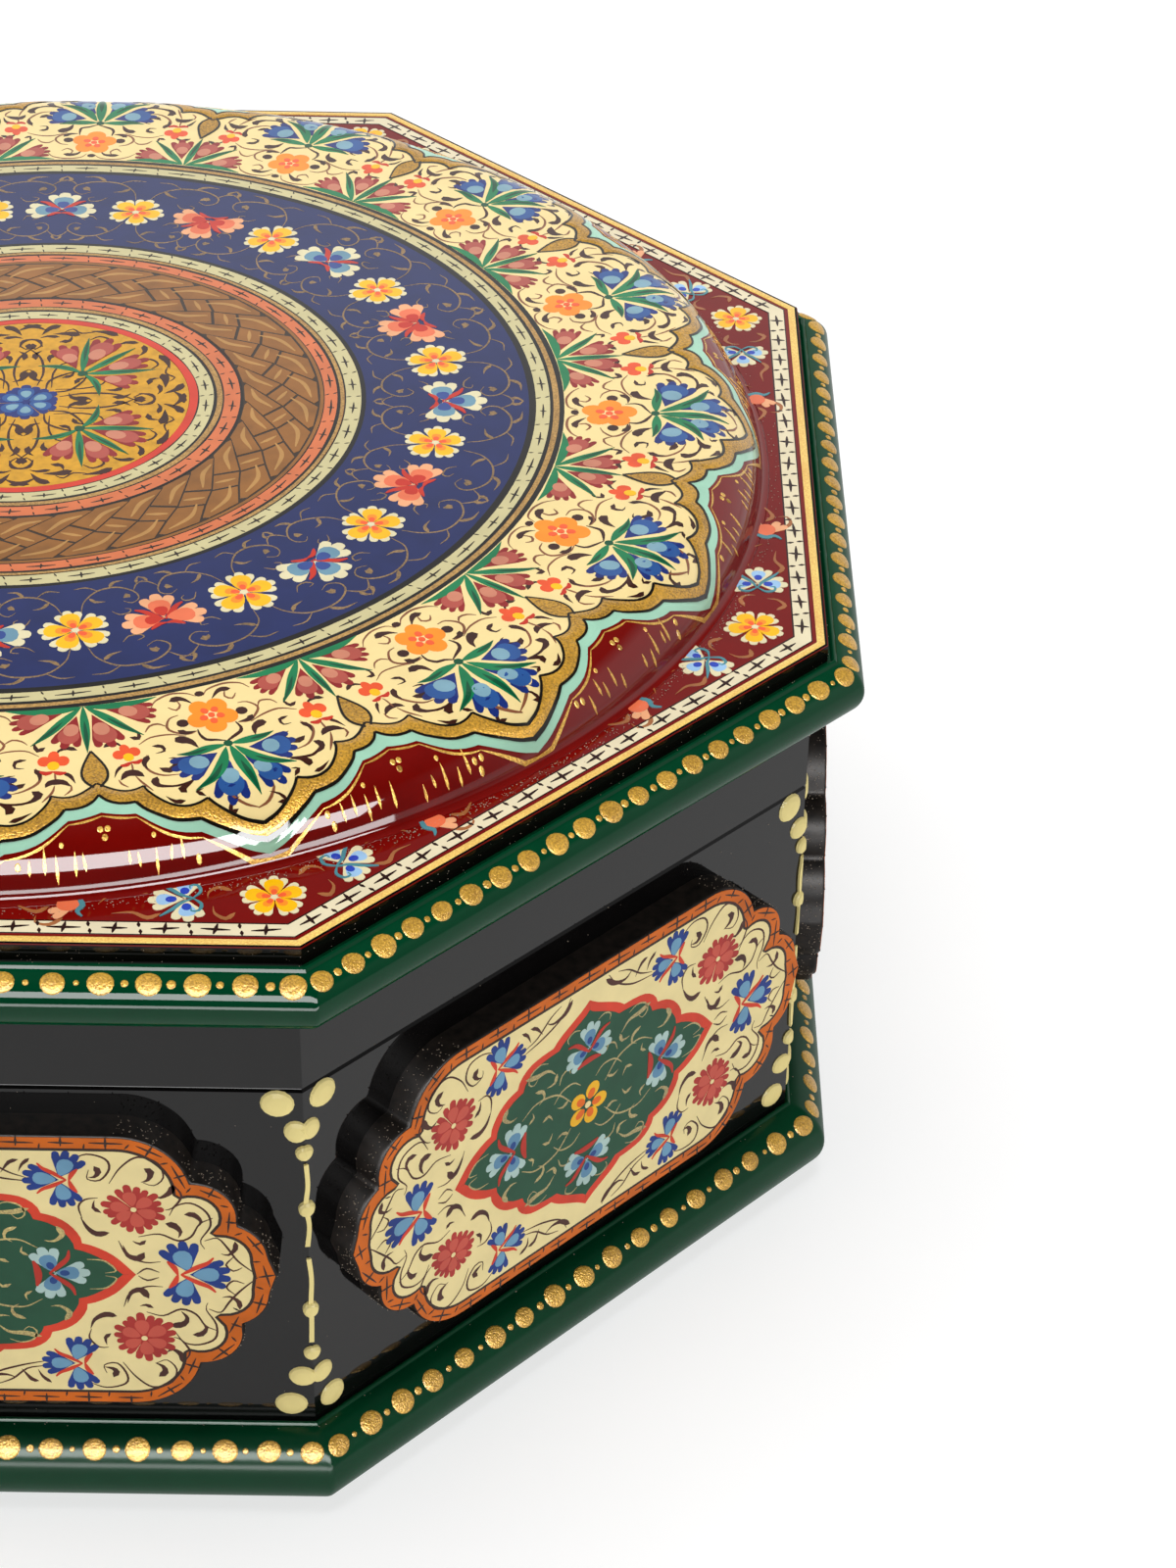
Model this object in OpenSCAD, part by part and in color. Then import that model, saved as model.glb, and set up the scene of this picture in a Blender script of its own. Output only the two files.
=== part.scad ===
// Eight-sided lacquered papier mache box with a lift-off lid.
// Boards and strips are glued up into two bodies: the box below, and the lid.
// All sizes are millimetres, +Z is up, and the origin is the centre of the underside.

/* [Box walls] */
// Outer width of the walls across two flats
wall_across = 188.4; // [160:0.2:230]
// Thickness of the wall boards
wall_t = 4; // [2.5:0.1:7]
// Height of the wall boards above the base board
wall_h = 49.3; // [38:0.1:80]

/* [Base board] */
// Thickness of the base board, whose edge is a full round
base_t = 9.6; // [6:0.1:14]
// Flat ledge between the walls and the start of the base board's round edge
base_ledge = 0.4; // [0:0.1:4]

/* [Lid skirt] */
// Height of the strips that hang under the lid
skirt_h = 11.7; // [9.5:0.1:20]
// Chamfer along both sides of the seam between box and lid
seam_chamfer = 0.3; // [0.1:0.05:0.8]

/* [Lid boards] */
// Thickness of the rim board, whose edge is a full round
rim_t = 6.4; // [4:0.1:10]
// Flat soffit between the walls and the start of the rim board's round edge
rim_ledge = 2.6; // [0:0.1:6]
// Thickness of the eight-sided plateau board
plateau_t = 2.2; // [1:0.1:5]
// Distance from the start of the rim's round edge in to the plateau's edge
plateau_inset = 1.2; // [0.2:0.1:5]
// How much is taken off each corner of the two round-edged boards
corner_ease = 0.35; // [0.1:0.05:1]

/* [Crown disc] */
// Height of the round disc above the plateau
disc_t = 6.8; // [4:0.1:12]
// Least distance from the plateau's edge in to the disc's foot
disc_inset = 6.2; // [2:0.1:20]
// Radius that rounds over the disc's top edge
disc_round = 8; // [2:0.1:14]
// Radius of the hollow fillet where the disc meets the plateau
foot_fillet = 1.2; // [0.4:0.1:1.6]

/* [Locating lip] */
// Thickness of the lip strips inside the walls
lip_t = 2.2; // [1.2:0.1:4]
// How far the lip stands up past the seam
lip_rise = 7.6; // [3:0.1:8.4]
// How far down the walls the lip is glued
lip_drop = 14; // [6:0.5:30]
// Lead-in chamfer along the lip's top edge
lip_chamfer = 0.8; // [0.2:0.1:1]
// Clearance between the lip and the lid's skirt
lid_gap = 0.3; // [0.15:0.05:0.8]

/* [Plaques] */
// Thickness of the raised cartouche plaques
plaque_t = 3.5; // [1.5:0.1:6]
// Gap from a plaque's pointed end to the corner of the walls
plaque_end_gap = 3; // [1:0.1:8]
// Gap from a plaque's top edge to the seam
plaque_top_gap = 3.6; // [1.5:0.1:8]
// Gap from a plaque's bottom edge to the base board
plaque_bottom_gap = 6.1; // [2:0.1:10]

/* [Hidden] */
SIDES = 8;
STEP = 360 / SIDES;
$fn = 96;

// Colours of the finish
lacquer_black = [0.07, 0.06, 0.06];
rim_green = [0.02, 0.24, 0.15];
plateau_maroon = [0.45, 0.08, 0.07];
disc_navy = [0.22, 0.25, 0.47];
plaque_cream = [0.92, 0.86, 0.66];

// Distances from the centre line to the flats
wall_ap = wall_across / 2;
wall_inner_ap = wall_ap - wall_t;
base_ap = wall_ap + base_ledge + base_t / 2;
rim_ap = wall_ap + rim_ledge + rim_t / 2;
plateau_ap = rim_ap - rim_t / 2 - plateau_inset;
skirt_inner_ap = wall_inner_ap + lid_gap;
lip_inner_ap = wall_inner_ap - lip_t;

// Heights above the underside
seam_z = base_t + wall_h;
lip_low_z = seam_z - lip_drop;
lip_top_z = seam_z + lip_rise;
rim_z = seam_z + skirt_h;
plateau_z = rim_z + rim_t;
disc_z = plateau_z + plateau_t;

// Disc profile: the round-over starts at round_r and would end at disc_r on the plateau
disc_r = plateau_ap - disc_inset;
round_z = disc_t - disc_round;
round_r = disc_r - sqrt(disc_round * disc_round - min(0, round_z) * min(0, round_z));

// Fillet at the disc's foot: its centre, and the point where it touches the disc's side
side_is_straight = round_z >= foot_fillet;
foot_reach = sqrt(pow(disc_round + foot_fillet, 2) - pow(foot_fillet - round_z, 2));
foot_centre = [side_is_straight ? disc_r + foot_fillet : round_r + foot_reach, foot_fillet];
foot_ray = (foot_centre - [round_r, round_z]) * disc_round / (disc_round + foot_fillet);
foot_touch = side_is_straight ? [disc_r, foot_fillet] : [round_r, round_z] + foot_ray;

// Plaque outline: its two ends are drawn for a half height of 1 and scaled up
plaque_len = side_of(wall_ap) - 2 * plaque_end_gap;
plaque_h = wall_h - plaque_top_gap - plaque_bottom_gap;
plaque_half = plaque_h / 2;
plaque_mid_z = base_t + plaque_bottom_gap + plaque_half;
end_depth = 0.84;
shoulder = [0, 0.6, 0.4];
middle_lobe = [0.39, 0.43, 0.248];
end_lobe = [0.53, 0.13, 0.263];
cusp_y = 0.2;

// Length of one side of an octagon from the distance to its flats
function side_of(apothem) = 2 * apothem * tan(STEP / 2);

// Distance from the centre to a corner of an octagon
function corner_of(apothem) = apothem / cos(STEP / 2);

// Flat octagon whose first flat faces +X
module octagon(apothem) {
    polygon([for (k = [0 : SIDES - 1]) corner_of(apothem) * [cos((k + 0.5) * STEP), sin((k + 0.5) * STEP)]]);
}

// Plank with both long edges fully rounded, running along Y
module round_edged_plank(apothem, r, reach) {
    translate([0, reach, 0])
        rotate([90, 0, 0])
            linear_extrude(2 * reach) {
                translate([-(apothem - r), 0]) square([2 * (apothem - r), 2 * r]);
                for (side = [-1, 1]) translate([side * (apothem - r), r]) circle(r = r);
            }
}

// Octagonal board with a fully rounded edge and eased corners, cut out of crossed planks
module round_edged_board(apothem, thickness) {
    eased_ap = corner_of(apothem) - corner_ease;
    intersection_for (k = [0 : SIDES - 1]) {
        rotate(k * STEP / 2)
            round_edged_plank(k % 2 == 0 ? apothem : eased_ap, thickness / 2, 1.1 * corner_of(apothem));
    }
}

// Strip along side number k, mitred at both ends; its section is drawn as [distance out, height]
module mitred_strip(k, section) {
    reach = corner_of(max([for (p = section) p[0]])) * 1.1;
    low = min([for (p = section) p[1]]);
    high = max([for (p = section) p[1]]);
    rotate(k * STEP)
        intersection() {
            translate([0, reach, 0])
                rotate([90, 0, 0])
                    linear_extrude(2 * reach) polygon(section);
            translate([0, 0, low - 1])
                linear_extrude(high - low + 2)
                    polygon([[0, 0], [reach, -reach * tan(STEP / 2)], [reach, reach * tan(STEP / 2)]]);
        }
}

// One pointed, lobed end of a plaque, for a half height of 1
module plaque_end() {
    for (m = [0, 1]) {
        mirror([0, m]) {
            translate([shoulder[0], shoulder[1]]) circle(r = shoulder[2]);
            translate([middle_lobe[0], middle_lobe[1]]) circle(r = middle_lobe[2]);
            translate([end_lobe[0], end_lobe[1]]) circle(r = end_lobe[2]);
            polygon([
                [0, 0], [end_depth, 0], [end_lobe[0] + 0.92 * end_lobe[2], cusp_y],
                [middle_lobe[0], middle_lobe[1]], [shoulder[0], shoulder[1]]
            ]);
        }
    }
}

// Whole plaque outline, centred
module plaque_outline() {
    straight = plaque_len / 2 - end_depth * plaque_half;
    for (m = [0, 1]) {
        mirror([m, 0]) translate([straight, 0]) scale(plaque_half) plaque_end();
    }
    square([2 * straight, plaque_h], center = true);
}

// Half section of the disc, above the plateau
module disc_profile() {
    square([round_r, disc_t]);
    intersection() {
        translate([round_r, round_z]) circle(r = disc_round);
        square([disc_r, disc_t]);
    }
    if (round_z > 0) square([disc_r, round_z]);
    difference() {
        polygon([[round_r, 0], [foot_centre[0], 0], foot_centre, foot_touch]);
        translate(foot_centre) circle(r = foot_fillet);
    }
}

module base_board() {
    color(rim_green) round_edged_board(base_ap, base_t);
}

module wall(k) {
    color(lacquer_black)
        mitred_strip(k, [
            [wall_inner_ap, base_t], [wall_ap, base_t], [wall_ap, seam_z - seam_chamfer],
            [wall_ap - seam_chamfer, seam_z], [wall_inner_ap, seam_z]
        ]);
}

module plaque(k) {
    color(plaque_cream)
        rotate(k * STEP)
            translate([wall_ap, 0, plaque_mid_z])
                rotate([90, 0, 90])
                    linear_extrude(plaque_t) plaque_outline();
}

module lip(k) {
    color(lacquer_black)
        mitred_strip(k, [
            [lip_inner_ap, lip_low_z], [wall_inner_ap, lip_low_z],
            [wall_inner_ap, lip_top_z - lip_chamfer], [wall_inner_ap - lip_chamfer, lip_top_z],
            [lip_inner_ap, lip_top_z]
        ]);
}

module skirt(k) {
    color(lacquer_black)
        mitred_strip(k, [
            [skirt_inner_ap, seam_z], [wall_ap - seam_chamfer, seam_z],
            [wall_ap, seam_z + seam_chamfer], [wall_ap, rim_z], [skirt_inner_ap, rim_z]
        ]);
}

module rim_board() {
    color(rim_green) translate([0, 0, rim_z]) round_edged_board(rim_ap, rim_t);
}

module plateau_board() {
    color(plateau_maroon) translate([0, 0, plateau_z]) linear_extrude(plateau_t) octagon(plateau_ap);
}

module crown_disc() {
    color(disc_navy) translate([0, 0, disc_z]) rotate_extrude() disc_profile();
}

base_board();
wall(0);  // wall_1
wall(1);  // wall_2
wall(2);  // wall_3
wall(3);  // wall_4
wall(4);  // wall_5
wall(5);  // wall_6
wall(6);  // wall_7
wall(7);  // wall_8
plaque(0);  // plaque_1
plaque(1);  // plaque_2
plaque(2);  // plaque_3
plaque(3);  // plaque_4
plaque(4);  // plaque_5
plaque(5);  // plaque_6
plaque(6);  // plaque_7
plaque(7);  // plaque_8
lip(0);  // lip_1
lip(1);  // lip_2
lip(2);  // lip_3
lip(3);  // lip_4
lip(4);  // lip_5
lip(5);  // lip_6
lip(6);  // lip_7
lip(7);  // lip_8
skirt(0);  // skirt_1
skirt(1);  // skirt_2
skirt(2);  // skirt_3
skirt(3);  // skirt_4
skirt(4);  // skirt_5
skirt(5);  // skirt_6
skirt(6);  // skirt_7
skirt(7);  // skirt_8
rim_board();
plateau_board();
crown_disc();
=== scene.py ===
"""Looks of a painted and lacquered eight-sided box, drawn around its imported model."""

import random
from math import asin, atan2, ceil, cos, degrees, pi, radians, sin, sqrt, tan

import bpy
import numpy as np
from mathutils import Matrix, Vector
from mathutils.geometry import delaunay_2d_cdt


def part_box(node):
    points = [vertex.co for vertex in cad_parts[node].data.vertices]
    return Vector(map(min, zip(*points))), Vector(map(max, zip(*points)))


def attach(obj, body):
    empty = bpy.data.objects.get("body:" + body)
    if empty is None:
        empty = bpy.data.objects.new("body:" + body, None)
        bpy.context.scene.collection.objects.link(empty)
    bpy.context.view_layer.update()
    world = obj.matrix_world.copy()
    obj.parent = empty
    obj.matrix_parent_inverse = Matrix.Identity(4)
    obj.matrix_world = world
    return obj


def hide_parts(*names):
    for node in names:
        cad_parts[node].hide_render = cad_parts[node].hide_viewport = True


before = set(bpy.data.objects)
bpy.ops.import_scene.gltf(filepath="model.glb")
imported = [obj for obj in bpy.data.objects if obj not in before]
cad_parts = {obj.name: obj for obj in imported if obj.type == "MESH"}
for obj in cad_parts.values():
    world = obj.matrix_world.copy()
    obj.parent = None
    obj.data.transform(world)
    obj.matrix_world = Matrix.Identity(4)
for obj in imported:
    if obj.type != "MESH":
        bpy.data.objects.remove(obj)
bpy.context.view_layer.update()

MM = 0.001
SIDES = 8
HALF_SIDE = pi / SIDES
hand = random.Random(41)


def slip(most):
    """A small slip of the painter's hand, to either side."""
    return hand.uniform(-most, most)


# Sizes taken from the frame, in millimetres

def top_of(node):
    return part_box(node)[1].z / MM


def reach_of(node):
    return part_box(node)[1].x / MM


DISC_TOP = top_of("crown_disc")
DISC_REACH = reach_of("crown_disc")
PLATEAU_TOP = top_of("plateau_board")
PLATEAU_REACH = reach_of("plateau_board")
RIM_TOP = top_of("rim_board")
RIM_REACH = reach_of("rim_board")
RIM_T = RIM_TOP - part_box("rim_board")[0].z / MM
BASE_TOP = top_of("base_board")
BASE_REACH = reach_of("base_board")
WALL_REACH = reach_of("wall_1")
WALL_TOP = top_of("skirt_1")
PLAQUE_REACH = reach_of("plaque_1")
PLAQUE_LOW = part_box("plaque_1")[0].z / MM
PLAQUE_MID = (PLAQUE_LOW + top_of("plaque_1")) / 2
PLAQUE_HALF_H = top_of("plaque_1") - PLAQUE_MID
PLAQUE_HALF_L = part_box("plaque_1")[1].y / MM

# The disc's edge is an arc that ends in a small fillet on the plateau. STEEPEST is the sine of the steepest
# slope that paint follows
DISC_ROUND = 8.0
DISC_FLAT = 81.49
FOOT_FILLET = 1.2
FOOT_START = 89.21
STEEPEST = 0.985


# Camera and light

CAMERA_AT = (65.218, -372.606, 304.123)
CAMERA_HEADING = 0.5964
CAMERA_DOWN = 36.3428
CAMERA_ROLL = 1.2721
CAMERA_LENS = 81.24
AIM_HEIGHT = 0.045


def add_camera():
    heading = radians(CAMERA_HEADING)
    down = radians(CAMERA_DOWN)
    roll = radians(CAMERA_ROLL)
    across = Vector((cos(heading), -sin(heading), 0))
    ahead = Vector((sin(heading) * cos(down), cos(heading) * cos(down), -sin(down)))
    right = across * cos(roll) + across.cross(ahead) * sin(roll)
    turned = Matrix((right, right.cross(ahead), -ahead)).transposed().to_4x4()
    data = bpy.data.cameras.new("camera")
    data.sensor_fit = "VERTICAL"
    data.sensor_height = 36
    data.lens = CAMERA_LENS
    data.clip_start = 0.01
    camera = bpy.data.objects.new("camera", data)
    bpy.context.collection.objects.link(camera)
    camera.matrix_world = Matrix.Translation(Vector(CAMERA_AT) * MM) @ turned
    bpy.context.scene.camera = camera


def add_soft_box(name, azimuth, elevation, distance, width, height, power, fills=True, shines=True):
    """A soft box in the given direction, in degrees, metres and watts, that faces the middle of the box."""
    data = bpy.data.lights.new(name, "AREA")
    data.shape = "RECTANGLE"
    data.size = width
    data.size_y = height
    data.energy = power
    lamp = bpy.data.objects.new(name, data)
    bpy.context.collection.objects.link(lamp)
    lamp.visible_diffuse = fills
    lamp.visible_glossy = shines
    a = radians(azimuth)
    e = radians(elevation)
    aim = Vector((cos(a) * cos(e), sin(a) * cos(e), sin(e)))
    lamp.location = aim * distance + Vector((0, 0, AIM_HEIGHT))
    lamp.rotation_euler = aim.to_track_quat("Z", "Y").to_euler()


def add_studio():
    """A white backdrop behind the box, dark above and in front of it, and five soft boxes."""
    world = bpy.data.worlds.new("studio")
    world.use_nodes = True
    nodes = world.node_tree.nodes
    links = world.node_tree.links
    place = nodes.new("ShaderNodeTexCoord")
    split = nodes.new("ShaderNodeSeparateXYZ")
    seen = nodes.new("ShaderNodeLightPath")
    links.new(place.outputs["Generated"], split.inputs["Vector"])
    shade = ramp(nodes, links, split.outputs["Z"],
                 ((0.0, grey(0.95)), (0.47, grey(0.9)), (0.63, grey(0.1))))
    depth = reckon(nodes, links, "MULTIPLY_ADD", split.outputs["Y"], 0.5, 0.5)
    back = ramp(nodes, links, depth, ((0.0, grey(0.1)), (0.3, grey(0.12)), (0.52, grey(1.0))))
    strength = reckon(nodes, links, "MAXIMUM", back, seen.outputs["Is Camera Ray"])
    links.new(shade, nodes["Background"].inputs["Color"])
    links.new(strength, nodes["Background"].inputs["Strength"])
    bpy.context.scene.world = world
    add_soft_box("overhead", 120, 84, 1.2, 0.95, 0.85, 13, shines=False)
    add_soft_box("side_key", 158, 50, 1.6, 0.7, 0.7, 3.5)
    add_soft_box("front_fill", -72, 26, 1.5, 1.0, 0.8, 7, shines=False)
    add_soft_box("high_strip", -92, 32, 0.8, 1.9, 0.27, 34, fills=False)
    add_soft_box("low_strip", -92, 0, 0.42, 1.2, 0.06, 3, fills=False)
    view = bpy.context.scene.view_settings
    view.view_transform = "Standard"
    view.look = "None"


# Materials

def new_material(name):
    material = bpy.data.materials.new(name)
    material.use_nodes = True
    return material, material.node_tree.nodes, material.node_tree.links


def tone(colour, factor):
    return tuple(min(1.0, c * factor) for c in colour) + (1,)


def grey(share):
    return share, share, share, 1


def srgb(red, green, blue):
    """Linear colour of an everyday 0 to 255 colour."""
    def one(c):
        c /= 255
        return c / 12.92 if c <= 0.04045 else ((c + 0.055) / 1.055) ** 2.4
    return one(red), one(green), one(blue)


def noise(nodes, links, scale, detail=3.0):
    place = nodes.new("ShaderNodeTexCoord")
    node = nodes.new("ShaderNodeTexNoise")
    node.inputs["Scale"].default_value = scale
    node.inputs["Detail"].default_value = detail
    links.new(place.outputs["Object"], node.inputs["Vector"])
    return node.outputs["Fac"]


def ramp(nodes, links, source, stops):
    node = nodes.new("ShaderNodeValToRGB")
    elements = node.color_ramp.elements
    while len(elements) < len(stops):
        elements.new(0.5)
    for element, (position, colour) in zip(elements, stops):
        element.position = position
        element.color = colour
    links.new(source, node.inputs["Fac"])
    return node.outputs["Color"]


def reckon(nodes, links, operation, *values):
    """A maths node; each value is a number or another node's output."""
    node = nodes.new("ShaderNodeMath")
    node.operation = operation
    for socket, value in zip(node.inputs, values):
        if isinstance(value, float):
            socket.default_value = value
        else:
            links.new(value, socket)
    return node.outputs["Value"]


def finish_shader(nodes, links, base, height, strength, values):
    """Colour, fine relief and further values of a material's shader."""
    shader = nodes["Principled BSDF"]
    links.new(base, shader.inputs["Base Color"])
    for name, value in values.items():
        shader.inputs[name].default_value = value
    relief = nodes.new("ShaderNodeBump")
    relief.inputs["Strength"].default_value = strength
    relief.inputs["Distance"].default_value = 0.0002
    links.new(height, relief.inputs["Height"])
    links.new(relief.outputs["Normal"], shader.inputs["Normal"])


def pigment(name, colour, spread=0.09, brush=260.0, coat=1.0, roughness=0.5, bump=0.05, gloss=0.035):
    """Brushed paint under clear lacquer, a little uneven in tone."""
    material, nodes, links = new_material(name)
    strokes = noise(nodes, links, brush)
    base = ramp(nodes, links, strokes, (
        (0.28, tone(colour, 1 - 1.6 * spread)),
        (0.5, tone(colour, 1)),
        (0.74, tone(colour, 1 + 1.3 * spread)),
    ))
    finish_shader(nodes, links, base, strokes, bump, {
        "Roughness": roughness, "Specular IOR Level": 0.0, "Coat Weight": coat, "Coat Roughness": gloss,
    })
    return material


def gilding(name, bright=(212, 158, 42), dark=(136, 96, 18), depth=0.6, metal=0.3, coat=0.5):
    """Gold powder paint: coarse grains, bright where they face the light."""
    material, nodes, links = new_material(name)
    grains = noise(nodes, links, 4200.0, 2.0)
    patches = reckon(nodes, links, "MULTIPLY", noise(nodes, links, 190.0, 2.0), 0.28)
    both = reckon(nodes, links, "MULTIPLY_ADD", grains, 0.72, patches)
    base = ramp(nodes, links, both, (
        (0.36, tone(srgb(*dark), 1)),
        (0.52, tone(srgb(*bright), 0.85)),
        (0.66, tone(srgb(*bright), 1.12)),
    ))
    finish_shader(nodes, links, base, grains, depth, {
        "Metallic": metal, "Roughness": 0.36, "Coat Weight": coat, "Coat Roughness": 0.08,
    })
    return material


# Surfaces: each takes flat points in millimetres and a lift, and gives points in space

def on_disc(points, lift):
    """Plan points on the crown disc, its rounded edge included."""
    r = np.hypot(points[:, 0], points[:, 1])
    lean = np.clip((r - DISC_FLAT) / DISC_ROUND, 0, STEEPEST)
    slope = np.arcsin(lean)
    z = DISC_TOP - DISC_ROUND * (1 - np.cos(slope))
    out = 1 + lift * np.sin(slope) / np.maximum(r, 1e-6)
    return np.column_stack((points[:, 0] * out, points[:, 1] * out, z + lift * np.cos(slope)))


# Outside DRIFT_FROM the painter's spacing slips round the disc, most of all near its front: where, how
# widely and how far, in degrees
DRIFT_FROM = 64
DRIFT_AT = -80
DRIFT_WIDTH = 22
DRIFT_MOST = 1.55


def drift(angle):
    away = (np.degrees(angle) - DRIFT_AT + 180) % 360 - 180
    return radians(DRIFT_MOST) * np.exp(-(away / DRIFT_WIDTH) ** 2)


def unrolled(azimuth, radius):
    """A stretch of ring laid flat: x runs clockwise along the ring, y is the radius."""
    start = radians(azimuth)

    def put(points, lift):
        angle = start - points[:, 0] / radius
        angle = angle + np.where(points[:, 1] > DRIFT_FROM, drift(angle), 0)
        plan = np.column_stack((points[:, 1] * np.cos(angle), points[:, 1] * np.sin(angle)))
        return on_disc(plan, lift)
    return put


def level(height):
    """A level surface, in plan."""
    def put(points, lift):
        return np.column_stack((points, np.full(len(points), height) + lift))
    return put


def side_axes(side):
    """Directions out of one side and along it, to the right as seen from outside."""
    turn = (side - 1) * 2 * HALF_SIDE
    return np.array((cos(turn), sin(turn), 0)), np.array((-sin(turn), cos(turn), 0))


def upright(side, reach, middle):
    """The outer face of one side: x runs along the side, y is up."""
    out, along = side_axes(side)

    def put(points, lift):
        lifts = np.broadcast_to(np.asarray(lift, float), (len(points),))
        spot = np.outer(reach + lifts, out) + np.outer(points[:, 0], along)
        spot[:, 2] = middle + points[:, 1]
        return spot
    return put


def round_edge(side, reach, thickness, top):
    """The rounded edge of a board: x runs along the side, y is the way down and round from its shoulder."""
    out, along = side_axes(side)
    radius = thickness / 2

    def put(points, lift):
        bend = points[:, 1] / radius
        away = reach - radius + (radius + lift) * np.sin(bend)
        spot = np.outer(away, out) + np.outer(points[:, 0], along)
        spot[:, 2] = top - radius + (radius + lift) * np.cos(bend)
        return spot
    return put


def within(place, x, y, turn=0.0, size=1.0, mirror=False):
    """A smaller frame inside another surface, turned anticlockwise by turn degrees."""
    c = cos(radians(turn)) * size
    s = sin(radians(turn)) * size
    flip = -1.0 if mirror else 1.0

    def put(points, lift):
        px = points[:, 0] * flip
        py = points[:, 1]
        return place(np.column_stack((x + px * c - py * s, y + px * s + py * c)), lift)
    return put


def halves(place):
    """A frame and its mirror image."""
    return [within(place, 0, 0, mirror=mirror) for mirror in (False, True)]


def by_hand(place, shift, turn, size):
    """The same frame with the small slips of a hand."""
    return within(place, slip(shift), slip(shift), slip(turn), 1 + slip(size))


# Outlines and lines, as flat points in millimetres

def oval(x, y, width, height=None, steps=18):
    height = height or width
    angles = np.linspace(0, 2 * pi, steps, endpoint=False)
    return np.column_stack((x + width / 2 * np.cos(angles), y + height / 2 * np.sin(angles)))


def smooth(points, step=0.35):
    """A smooth line through a few points."""
    p = np.asarray(points, float)
    p = np.vstack((2 * p[0] - p[1], p, 2 * p[-1] - p[-2]))
    out = []
    for a, b, c, d in zip(p, p[1:], p[2:], p[3:]):
        count = max(2, ceil(np.hypot(*(c - b)) / step))
        t = np.linspace(0, 1, count, endpoint=False)[:, None]
        out.append(0.5 * (2 * b + (c - a) * t + (2 * a - 5 * b + 4 * c - d) * t ** 2
                          + (3 * b - a - 3 * c + d) * t ** 3))
    return np.vstack(out + [p[-2]])


def distances(line):
    """How far along a line each of its points lies."""
    return np.concatenate(([0], np.cumsum(np.hypot(*np.diff(line, axis=0).T))))


def resampled(line, count):
    along = distances(line)
    at = np.linspace(0, along[-1], count)
    return np.column_stack([np.interp(at, along, line[:, i]) for i in (0, 1)])


def fan(length, spread, lobes=3, notch=0.2, droop=0.08, steps=6):
    """A petal that opens from its base at the origin towards +y and ends in round lobes."""
    half = radians(spread) / 2
    each = 2 * half / lobes
    points = [(0.0, 0.0)]
    for i in range(lobes):
        off_centre = abs(2 * i - lobes + 1) / (lobes - 1)
        reach = length * (1 - droop * off_centre)
        for t in np.linspace(-1, 1, steps + 1):
            angle = -half + each * (i + 0.5 + 0.5 * t)
            r = reach * (1 - notch + notch * sqrt(max(0.0, 1 - t * t)))
            points.append((r * sin(angle), r * cos(angle)))
    return np.array(points)


def drop(length, width, base=0.0, steps=7):
    """A rounded drop from its pointed base to its full end, along +y."""
    t = np.linspace(0, 1, steps + 1)
    y = base + length * (1 - np.cos(pi * t)) / 2
    half = width / 2 * np.sin(pi * t ** 1.35)
    right = np.column_stack((half, y))
    left = np.column_stack((-half[1:-1], y[1:-1]))[::-1]
    return np.vstack((right, left))


def wave(t):
    return np.sin(pi * t)


WIDTHS = {
    "vine": lambda t: 0.3 + 0.7 * wave(t),
    "leaf": lambda t: wave(t ** 0.85) + 0.04,
    "comma": lambda t: np.where(t < 0.28, np.sqrt(np.clip(1 - ((0.28 - t) / 0.28) ** 2, 0, 1)),
                                np.clip((1 - t) / 0.72, 0, 1) ** 0.9) + 0.05,
    "dash": lambda t: 0.06 + (1 - t) ** 0.7 * np.sqrt(np.clip(t / 0.12, 0, 1)),
    "even": lambda t: np.ones_like(t),
}


# Paint: one pigment on one body. Every shape reaches a little into the surface under it, and lies a little
# above the shape before it, so that overlaps never share a face

SINK = 0.06
LAYER = 0.0012
LAYERS = 9


def outward(faces, corners, rise):
    """The faces, turned round if the corners of the first one face away from the rise."""
    middle = corners.mean(0)
    area = np.cross(corners - middle, np.roll(corners, -1, 0) - middle).sum(0)
    return [tuple(reversed(f)) for f in faces] if np.dot(area, rise) < 0 else list(faces)


def tube_faces(rows, around):
    """The faces between rows of points, with the first row closed."""
    faces = [tuple(reversed(range(around)))]
    for low in range(0, (rows - 1) * around, around):
        high = low + around
        for i in range(around):
            j = (i + 1) % around
            faces.append((low + i, low + j, high + j, high + i))
    return faces


def add_piece(name, points, faces, material):
    mesh = bpy.data.meshes.new(name)
    mesh.from_pydata((np.asarray(points) * MM).tolist(), [], faces)
    mesh.materials.append(material)
    piece = bpy.data.objects.new(name, mesh)
    bpy.context.collection.objects.link(piece)
    return piece


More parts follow.
